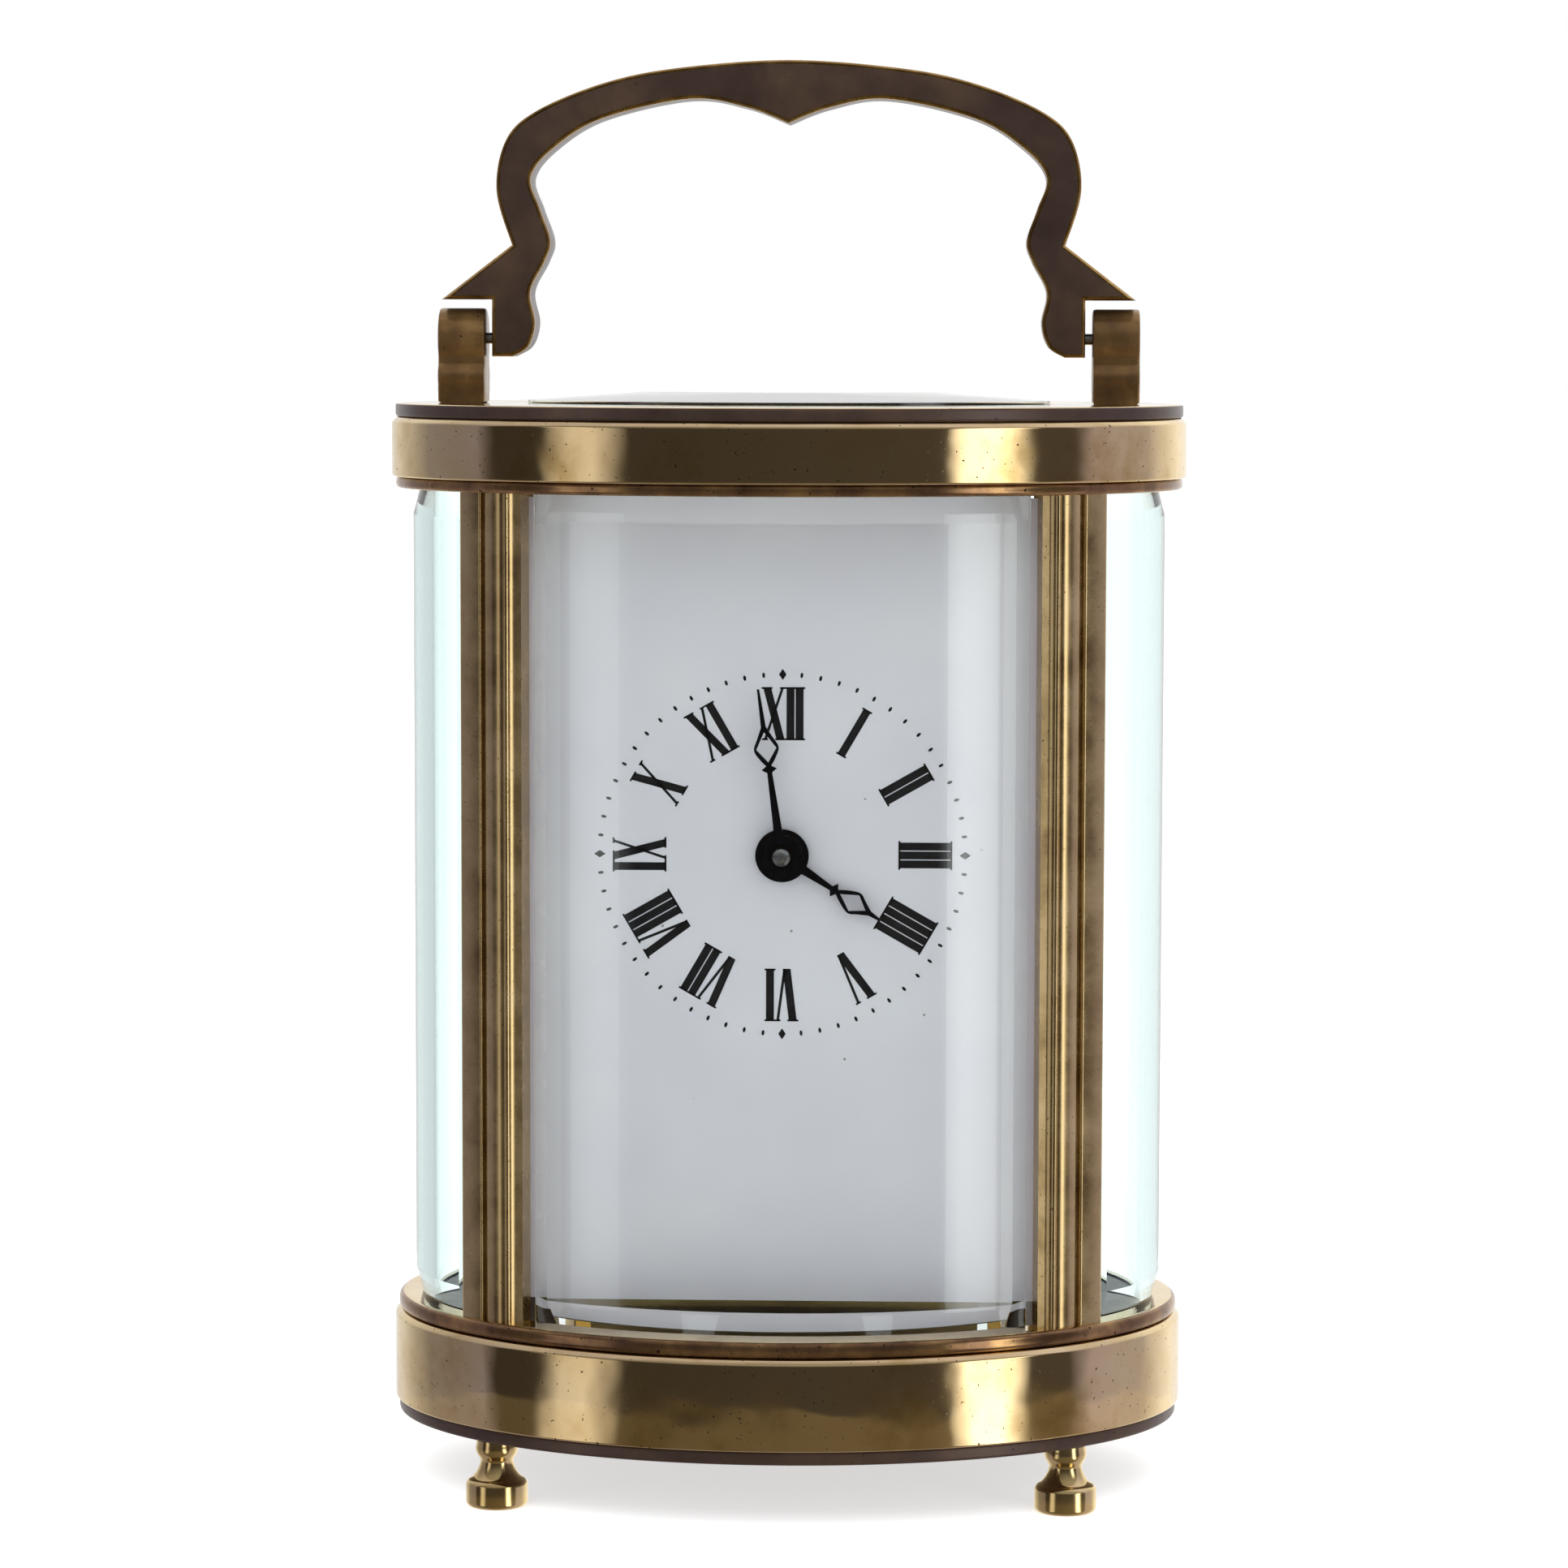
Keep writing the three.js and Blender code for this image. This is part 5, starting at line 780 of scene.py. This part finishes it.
def slanted(bottom, top, width):
    """A stroke from foot to head of a figure, as four corners."""
    half = width / 2
    return [(bottom - half, 0), (bottom + half, 0), (top + half, FIGURE_HEIGHT), (top - half, FIGURE_HEIGHT)]


def serif(middle, width, z):
    """A short bar across the end of a stroke, as four corners."""
    half = width / 2 + FIGURE_SERIF_REACH
    top = z + FIGURE_SERIF
    return [(middle - half, z), (middle + half, z), (middle + half, top), (middle - half, top)]


def figure_strokes(letter):
    """Strokes of one letter, its left edge at 0 and its foot at 0, in millimetres."""
    thick, thin = FIGURE_STROKE, FIGURE_HAIRLINE
    head = FIGURE_HEIGHT - FIGURE_SERIF
    width = FIGURE_WIDTHS[letter]
    left = thick / 2 + FIGURE_SERIF_REACH
    right = width - FIGURE_SERIF_REACH - thin / 2
    middle = width / 2
    shift = thick / 4
    if letter == "I":
        return [slanted(middle, middle, thick), serif(middle, thick, 0), serif(middle, thick, head)]
    heads = [serif(left, thick, head), serif(right, thin, head)]
    if letter == "V":
        return [slanted(middle, left, thick), slanted(middle + shift, right, thin), *heads]
    return [slanted(right - shift, left, thick), slanted(left - shift, right, thin), *heads,
            serif(left - shift, thin, 0), serif(right - shift, thick, 0)]


def on_dial(u, r, turn, layer):
    """A point of the dial's face: u across and r outwards, turned clockwise from twelve."""
    x = u * math.cos(turn) + r * math.sin(turn)
    z = r * math.cos(turn) - u * math.sin(turn)
    return x * MM, DIAL_FRONT_Y - layer, CENTRE_Z + z * MM


def hour_figures():
    """The twelve Roman figures, each stroke a thin slab of print."""
    points, faces = [], []
    for hour, letters in enumerate(HOURS):
        turn = 2 * math.pi * hour / len(HOURS)
        total = sum(FIGURE_WIDTHS[c] + FIGURE_GAP for c in letters) - FIGURE_GAP
        u = -total / 2
        for letter in letters:
            for stroke in figure_strokes(letter):
                start = len(points)
                for layer in (-PRINT_LAYER, PRINT_LAYER):
                    points += [on_dial(u + a, FIGURE_INNER + b, turn, layer) for a, b in stroke]
                faces += [tuple(start + k for k in face) for face in STROKE_FACES]
            u += FIGURE_WIDTHS[letter] + FIGURE_GAP
    finish_piece("hour_figures", mesh_of("hour_figures", points, faces), PRINT, "dial")


def nodes_group(name, sizes):
    """An empty Geometry Nodes tree with a named length input for each size."""
    tree = bpy.data.node_groups.new(name, "GeometryNodeTree")
    tree.interface.new_socket("Geometry", in_out="INPUT", socket_type="NodeSocketGeometry")
    for size in sizes:
        tree.interface.new_socket(size, in_out="INPUT", socket_type="NodeSocketFloat")
    tree.interface.new_socket("Geometry", in_out="OUTPUT", socket_type="NodeSocketGeometry")
    return tree, add_node(tree, "NodeGroupInput").outputs


def close_group(tree, instances, material):
    """Ends a tree: its instances made real, with a material."""
    solid = add_node(tree, "GeometryNodeRealizeInstances", {"Geometry": instances})
    finished = add_node(tree, "GeometryNodeSetMaterial", {
        "Geometry": solid.outputs["Geometry"], "Material": material})
    add_node(tree, "NodeGroupOutput", {"Geometry": finished.outputs["Geometry"]})


def baked(name, tree, sizes, start=None):
    """The plain mesh that a tree makes of a starting mesh, with its sizes set by socket."""
    carrier = new_object(name, start or bpy.data.meshes.new(name))
    modifier = carrier.modifiers.new(name, "NODES")
    modifier.node_group = tree
    for socket in tree.interface.items_tree:
        if socket.in_out == "INPUT" and socket.name in sizes:
            modifier[socket.identifier] = sizes[socket.name]
    seen = carrier.evaluated_get(bpy.context.evaluated_depsgraph_get())
    mesh = bpy.data.meshes.new_from_object(seen)
    bpy.data.objects.remove(carrier)
    mesh.materials.clear()
    return mesh


# Minute marks and quarter lozenges: how many, their sides and their sizes
MINUTE_RING = 18.4 * MM
DIAL_MARKS = {
    "minute_marks": (60, 10, {
        "Ring Radius": MINUTE_RING, "Mark Radius": 0.15 * MM, "Mark Length": 1.9, "Layer": PRINT_LAYER}),
    "quarter_marks": (4, 4, {
        "Ring Radius": MINUTE_RING, "Mark Radius": 0.38 * MM, "Mark Length": 1.5, "Layer": 0.06 * MM}),
}


def dial_marks(name, count, sides, sizes):
    """Marks printed round the dial: flat prisms of a few sides, stretched along the radius, in a ring."""
    tree, size = nodes_group(name, list(sizes))
    ring = add_node(tree, "GeometryNodeMeshCircle", {"Vertices": count, "Radius": size["Ring Radius"]})
    mark = add_node(tree, "GeometryNodeMeshCylinder", {
        "Vertices": sides, "Radius": size["Mark Radius"], "Depth": size["Layer"]})
    stretch = add_node(tree, "ShaderNodeCombineXYZ", {"X": size["Mark Length"], "Y": 1.0, "Z": 1.0})
    where = add_node(tree, "GeometryNodeInputPosition")
    aim = add_node(tree, "FunctionNodeAlignRotationToVector", {
        "Vector": where.outputs["Position"]}, axis="X", pivot_axis="Z")
    marks = add_node(tree, "GeometryNodeInstanceOnPoints", {
        "Points": ring.outputs["Mesh"], "Instance": mark.outputs["Mesh"],
        "Rotation": aim.outputs["Rotation"], "Scale": stretch.outputs["Vector"]})
    close_group(tree, marks.outputs["Instances"], PRINT)
    mesh = baked(name, tree, sizes)
    upright = Matrix.Rotation(math.radians(90), 4, "X")
    mesh.transform(Matrix.Translation((0, DIAL_FRONT_Y, CENTRE_Z)) @ upright)
    finish_piece(name, mesh, PRINT, "dial")


# Slotted screws and jewels of the movement in millimetres
PILLAR_SCREW = {
    "Head Radius": 1.5 * MM, "Head Height": 0.8 * MM, "Slot Width": 0.4 * MM, "Slot Depth": 0.5 * MM}
PLATFORM_SCREW = {
    "Head Radius": 1 * MM, "Head Height": 0.5 * MM, "Slot Width": 0.26 * MM, "Slot Depth": 0.3 * MM}
PLATFORM_SCREW_PLACES = [(-13.2, -7.7), (13.2, -7.7), (-13.2, 13.2), (13.2, 13.2)]
SCREW_SIDES = 24
SCREW_SEED = 7
SLOT_REACH = 3.0
JEWEL_RADIUS = 0.9 * MM
JEWEL_HEIGHT = 0.25 * MM
JEWEL_STEPS = 32


def screws(name, places, sizes):
    """Slotted screw heads standing on points, each with its slot at an angle of its own."""
    tree, size = nodes_group(name, list(sizes))
    head = add_node(tree, "GeometryNodeMeshCylinder", {
        "Vertices": SCREW_SIDES, "Radius": size["Head Radius"], "Depth": size["Head Height"]})
    block = add_node(tree, "ShaderNodeCombineXYZ", {
        "X": reckon(tree, "MULTIPLY", size["Head Radius"], SLOT_REACH),
        "Y": size["Slot Width"], "Z": size["Slot Depth"]})
    slot = add_node(tree, "GeometryNodeMeshCube", {"Size": block.outputs["Vector"]})
    half = reckon(tree, "MULTIPLY", size["Head Height"], 0.5)
    lift = add_node(tree, "ShaderNodeCombineXYZ", {"Z": half}).outputs["Vector"]
    raised = add_node(tree, "GeometryNodeTransform", {"Geometry": slot.outputs["Mesh"], "Translation": lift})
    cut = add_node(tree, "GeometryNodeMeshBoolean", {
        "Mesh 1": head.outputs["Mesh"], "Mesh 2": raised.outputs["Geometry"]}, operation="DIFFERENCE")
    seated = add_node(tree, "GeometryNodeTransform", {"Geometry": cut.outputs["Mesh"], "Translation": lift})
    turn = add_node(tree, "FunctionNodeRandomValue", {
        "Min": (0.0, 0.0, 0.0), "Max": (0.0, 0.0, math.pi), "Seed": SCREW_SEED}, data_type="FLOAT_VECTOR")
    spread = add_node(tree, "GeometryNodeInstanceOnPoints", {
        "Points": size["Geometry"], "Instance": seated.outputs["Geometry"],
        "Rotation": turn.outputs["Value"]})
    close_group(tree, spread.outputs["Instances"], BLUED_STEEL)
    return baked(name, tree, sizes, mesh_of(name + "_places", places, []))


def movement_fittings():
    """Screws of the pillars and the platform, and the two jewels that show in the cocks."""
    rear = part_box("ratchet_wheel")[0].y - SEAT_GAP
    pillars = [middle_of(f"movement_pillar_{level}_{side}")
               for level in ("lower", "upper") for side in ("left", "right")]
    mesh = screws("pillar_screws", [(at.x, -at.z, rear) for at in pillars], PILLAR_SCREW)
    mesh.transform(Matrix.Rotation(math.radians(-90), 4, "X"))
    finish_piece("pillar_screws", mesh, BLUED_STEEL, "movement_back_plate")
    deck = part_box("platform")[1].z
    places = [(x * MM, y * MM, deck) for x, y in PLATFORM_SCREW_PLACES]
    mesh = screws("platform_screws", places, PLATFORM_SCREW)
    finish_piece("platform_screws", mesh, BLUED_STEEL, "platform")
    dome = eased([(0, 0), (JEWEL_RADIUS, 0), (JEWEL_RADIUS, JEWEL_HEIGHT), (0, JEWEL_HEIGHT)],
                 JEWEL_HEIGHT, closed=False)
    for node, cock in (("balance", "balance_cock"), ("escape_wheel", "escape_cock")):
        at = middle_of(node)
        jewel = lathe(cock + "_jewel", dome, (at.x, at.y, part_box(cock)[1].z), JEWEL_STEPS)
        finish_piece(cock + "_jewel", jewel, RUBY, cock)


# Hands in millimetres along their length, filed from sheet: an open lozenge behind a thin point
HANDS = {
    "hour_hand": {
        "boss": 2.7, "bar": 6.3, "widest": 8.7, "half": 1.2, "peak": 10.6, "length": 11.9, "angle": 123.5},
    "minute_hand": {
        "boss": 2.2, "bar": 9, "widest": 11.1, "half": 1.25, "peak": 13.3, "length": 17.2, "angle": -8},
}
HAND_STEM = 0.35
HAND_ROOT = 1.3 * HAND_STEM
HAND_NECK = 0.7 * HAND_STEM
HAND_BAR = 2.2 * HAND_STEM
HAND_POINT = 0.3 * HAND_STEM
HAND_WALL = 0.65 * HAND_STEM
HAND_OPENING_FOOT = 2 * HAND_STEM
HAND_OPENING_HEAD = 1.4 * HAND_STEM
HAND_EYE = 0.55
LOZENGE_FULLNESS = 0.62
LOZENGE_STEPS = 5
BOSS_STEPS = 48
EYE_STEPS = 32


def hand_outline(boss, bar, widest, half, peak, length):
    """Outline of a hand as (across, outwards): round boss, stem, small bar, lozenge and point."""
    root = math.asin(HAND_ROOT / boss)
    arc = spaced(root, 2 * math.pi - root, BOSS_STEPS)
    edge = [(boss * math.sin(a), boss * math.cos(a)) for a in arc]
    shoulder = half * LOZENGE_FULLNESS
    lozenge = spline([(HAND_NECK, bar + HAND_STEM), (shoulder, (bar + widest) / 2), (half, widest),
                      (shoulder, (widest + peak) / 2), (HAND_NECK, peak)], LOZENGE_STEPS)
    side = [(HAND_NECK, bar - HAND_STEM), (HAND_BAR, bar), *lozenge, (HAND_POINT, length)]
    return edge + mirrored(side) + list(reversed(side))


def hand(node, boss, bar, widest, half, peak, length, angle):
    """A hand cut from sheet, with the opening of its lozenge and the eye for its arbor."""
    low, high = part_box(node)
    turn = math.radians(angle)
    slit = half - HAND_WALL
    opening = [(0, bar + HAND_OPENING_FOOT), (slit, widest), (0, peak - HAND_OPENING_HEAD), (-slit, widest)]
    eye = [(HAND_EYE * math.cos(a), HAND_EYE * math.sin(a)) for a in full_turn(EYE_STEPS)]
    loops = [(hand_outline(boss, bar, widest, half, peak, length), turn), (opening, turn), (eye, 0)]
    work = bmesh.new()
    edges = []
    for loop, turned in loops:
        places = [on_dial(u, r, turned, 0) for u, r in loop]
        corners = [work.verts.new((x, low.y, z)) for x, _, z in places]
        edges += [work.edges.new((corners[k - 1], corners[k])) for k in range(len(corners))]
    bmesh.ops.triangle_fill(work, edges=edges, use_beauty=True)
    made = bmesh.ops.extrude_face_region(work, geom=list(work.faces))
    back = [v for v in made["geom"] if isinstance(v, bmesh.types.BMVert)]
    bmesh.ops.translate(work, verts=back, vec=(0, high.y - low.y, 0))
    mesh = bpy.data.meshes.new(node + "_fine")
    work.to_mesh(mesh)
    work.free()
    stand_in(node, mesh, BLUED_STEEL, sharp=30)


SMOOTH_ANGLE = math.radians(32)


def smooth_by_angle():
    """A tree that shades curved faces smoothly and keeps the sharper edges crisp."""
    tree, size = nodes_group("smooth_by_angle", ["Angle"])
    fold = add_node(tree, "GeometryNodeInputMeshEdgeAngle")
    soft = add_node(tree, "FunctionNodeCompare", {
        "A": fold.outputs["Unsigned Angle"], "B": size["Angle"]}, operation="LESS_THAN")
    edges = add_node(tree, "GeometryNodeSetShadeSmooth", {
        "Geometry": size["Geometry"], "Shade Smooth": soft.outputs["Result"]}, domain="EDGE")
    faces = add_node(tree, "GeometryNodeSetShadeSmooth", {
        "Geometry": edges.outputs["Geometry"], "Shade Smooth": True})
    add_node(tree, "NodeGroupOutput", {"Geometry": faces.outputs["Geometry"]})
    return tree


def finish_model_nodes():
    """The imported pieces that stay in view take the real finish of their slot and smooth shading."""
    tree = smooth_by_angle()
    angle = [socket.identifier for socket in tree.interface.items_tree if socket.name == "Angle"][0]
    for name, node in NODES.items():
        node.data.materials.clear()
        node.data.materials.append(SLOT_FINISH[SLOT_OF[name]])
        if name not in REPLACED:
            modifier = node.modifiers.new("smooth_by_angle", "NODES")
            modifier.node_group = tree
            modifier[angle] = SMOOTH_ANGLE


# Where the camera stood in front of the clock, in millimetres and radians, and its lens
CAMERA_FOCUS_PX = 6357.7
PHOTO_PX = 1932
CAMERA_DISTANCE = 538.9
CAMERA_BEARING = 0.0358
CAMERA_TURN = 0.0008
CAMERA_PITCH = 0.09
CAMERA_ROLL = 0.0021
CAMERA_Z = 121.7
CAMERA_SENSOR = 36
CAMERA_NEAR = 0.05


def camera():
    """The camera, as fitted to the photograph."""
    az = CAMERA_BEARING + CAMERA_TURN
    level = math.cos(CAMERA_PITCH)
    ahead = Vector((-math.sin(az) * level, math.cos(az) * level, -math.sin(CAMERA_PITCH)))
    right = Vector((math.cos(az), math.sin(az), 0))
    up = right.cross(ahead)
    across = right * math.cos(CAMERA_ROLL) + up * math.sin(CAMERA_ROLL)
    upright = up * math.cos(CAMERA_ROLL) - right * math.sin(CAMERA_ROLL)
    lens = bpy.data.cameras.new("camera")
    lens.sensor_width = CAMERA_SENSOR
    lens.lens = CAMERA_FOCUS_PX / PHOTO_PX * CAMERA_SENSOR
    lens.clip_start = CAMERA_NEAR
    eye = new_object("camera", lens)
    place = Vector((math.sin(CAMERA_BEARING), -math.cos(CAMERA_BEARING), 0)) * CAMERA_DISTANCE * MM
    place.z = CAMERA_Z * MM
    turn = Matrix((across, upright, -ahead)).transposed()
    eye.matrix_world = Matrix.Translation(place) @ turn.to_4x4()
    bpy.context.scene.camera = eye


# Softboxes by name, place and size in metres, and watts. They light the clock and aren't mirrored in it
LIGHT_AIM = (0, 0, 0.06)
SOFTBOXES = [
    ("softbox_left", (-0.75, -0.68, 0.08), (0.26, 1.1), 1.05),
    ("softbox_right", (0.72, -0.7, 0.08), (0.27, 1.1), 1.8),
    ("softbox_front", (0, -0.75, 0.8), (0.9, 0.5), 4.2),
]
# The room as the brass mirrors it. Walls run from the front (0) to behind (1), windows from left to right;
# the other ranges are parts of the direction in which a ray leaves
WHITE = "#FFFFFF"
BLACK = "#000000"
WALL_TONES = [(0.37, "#46413E"), (0.43, "#A19CB2"), (0.68, "#A8A6B4"), (0.9, WHITE)]
WALL_LIGHT = (0.7, 1.3)
TABLE_TONE = "#59503A"
TABLE_EDGE = (-0.226, -0.223)
WINDOW_TONES = [(0.075, BLACK), (0.1, "#B4B3B6"), (0.15, "#BDBBBC"), (0.21, BLACK),
                (0.79, BLACK), (0.83, WHITE), (0.885, WHITE), (0.92, BLACK)]
WINDOW_AHEAD = (-0.35, -0.5)
WINDOW_HEIGHT = (0.6, 0.35)
WINDOW_LIGHT = 2.1
CEILING_RISE = (0.3, 0.8)
CEILING_LIGHT = 0.3
ROOM_LIGHT = 0.8
BACKDROP_LIGHT = 1.0
WHOLE_TURN = (-1.0, 1.0)


def softbox(name, place, size, watts):
    """A soft rectangular lamp aimed at the clock."""
    light = bpy.data.lights.new(name, "AREA")
    light.shape = "RECTANGLE"
    light.size, light.size_y = size
    light.energy = watts
    box = new_object(name, light)
    box.location = place
    box.rotation_euler = (Vector(LIGHT_AIM) - Vector(place)).to_track_quat("-Z", "Y").to_euler()
    box.visible_glossy = False


def background(tree, colour, strength):
    """Light of the world in one colour."""
    return add_node(tree, "ShaderNodeBackground", {"Color": colour, "Strength": strength}).outputs[0]


def either(tree, share, first, second):
    """The first or the second shader, by a share."""
    return add_node(tree, "ShaderNodeMixShader", {0: share, 1: first, 2: second}).outputs[0]


def mirrored_room(tree):
    """The room's colours by direction: walls, table top, two soft windows ahead and a pale ceiling."""
    way = add_node(tree, "ShaderNodeTexCoord").outputs["Generated"]
    part = add_node(tree, "ShaderNodeSeparateXYZ", {"Vector": way}).outputs
    walls = ramp(tree, remap(tree, part["Y"], WHOLE_TURN), WALL_TONES)
    below = remap(tree, part["Z"], TABLE_EDGE, (1.0, 0.0))
    table = blend(tree, below, linear(BLACK), linear(TABLE_TONE))
    windows = ramp(tree, remap(tree, part["X"], WHOLE_TURN), WINDOW_TONES)
    ahead = remap(tree, part["Y"], WINDOW_AHEAD, (0.0, WINDOW_LIGHT))
    upright = remap(tree, reckon(tree, "ABSOLUTE", part["Z"]), WINDOW_HEIGHT)
    lit = add_node(tree, "ShaderNodeVectorMath", {
        0: windows, 3: reckon(tree, "MULTIPLY", ahead, upright)}, operation="SCALE")
    overhead = remap(tree, part["Z"], CEILING_RISE, (0.0, CEILING_LIGHT))
    lamps = blend(tree, 1.0, lit.outputs["Vector"], overhead, "ADD")
    colour = blend(tree, 1.0, blend(tree, 1.0, walls, table, "ADD"), lamps, "ADD")
    return background(tree, colour, remap(tree, part["X"], WHOLE_TURN, WALL_LIGHT))


def studio():
    """A white room with three softboxes. Metal mirrors a dimmer room with two windows, and whatever is
    seen straight or through glass has a white backdrop behind it."""
    for lamp in SOFTBOXES:
        softbox(*lamp)
    world = bpy.data.worlds.new("white_room")
    world.use_nodes = True
    tree = world.node_tree
    tree.nodes.remove(tree.nodes["Background"])
    mirror = mirrored_room(tree)
    room = background(tree, linear(WHITE), ROOM_LIGHT)
    backdrop = background(tree, linear(WHITE), BACKDROP_LIGHT)
    ray = add_node(tree, "ShaderNodeLightPath").outputs
    seen = reckon(tree, "MAXIMUM", ray["Is Camera Ray"], ray["Is Transmission Ray"])
    bounced = reckon(tree, "SUBTRACT", ray["Is Glossy Ray"], ray["Is Transmission Ray"])
    gloss = reckon(tree, "MAXIMUM", bounced, ray["Glossy Depth"])
    sharp = either(tree, gloss, either(tree, seen, room, backdrop), mirror)
    feed(tree, tree.nodes["World Output"], {"Surface": either(tree, ray["Diffuse Depth"], sharp, room)})
    bpy.context.scene.world = world
    bpy.context.scene.view_settings.view_transform = "Standard"


PAPER_HALF = 8.0
PAPER_TONE = "#F4F4F4"
PAPER_ROUGHNESS = 0.9
PAPER_GLOW = 0.6


def floor():
    """White paper under the clock: it keeps the shadow, is white to the camera and through glass, and
    isn't mirrored in the brass, which has the table of the mirrored room instead."""
    half = PAPER_HALF
    points = [(-half, -half, 0), (half, -half, 0), (half, half, 0), (-half, half, 0)]
    material, tree, shader, _ = new_material("white_paper_sweep")
    ray = add_node(tree, "ShaderNodeLightPath").outputs
    seen = reckon(tree, "MAXIMUM", ray["Is Camera Ray"], ray["Is Transmission Ray"])
    feed(tree, shader, {
        "Base Color": linear(PAPER_TONE), "Roughness": PAPER_ROUGHNESS, "Specular IOR Level": 0.0,
        "Emission Color": linear(WHITE), "Emission Strength": reckon(tree, "MULTIPLY", seen, PAPER_GLOW)})
    away = add_node(tree, "ShaderNodeBsdfTransparent").outputs[0]
    sheet = either(tree, ray["Glossy Depth"], shader.outputs[0], away)
    feed(tree, tree.nodes["Material Output"], {"Surface": sheet})
    mesh = mesh_of("paper_sweep", points, [(0, 1, 2, 3)])
    mesh.materials.append(material)
    sweep = new_object("paper_sweep", mesh)
    sweep.visible_glossy = False
    sweep.visible_shadow = False


case_plates()
glasses()
columns()
handle()
lugs()
feet()
door()
movement_fittings()
hour_figures()
for marks, (count, sides, sizes) in DIAL_MARKS.items():
    dial_marks(marks, count, sides, sizes)
for node, shape in HANDS.items():
    hand(node, **shape)
finish_model_nodes()
camera()
studio()
floor()
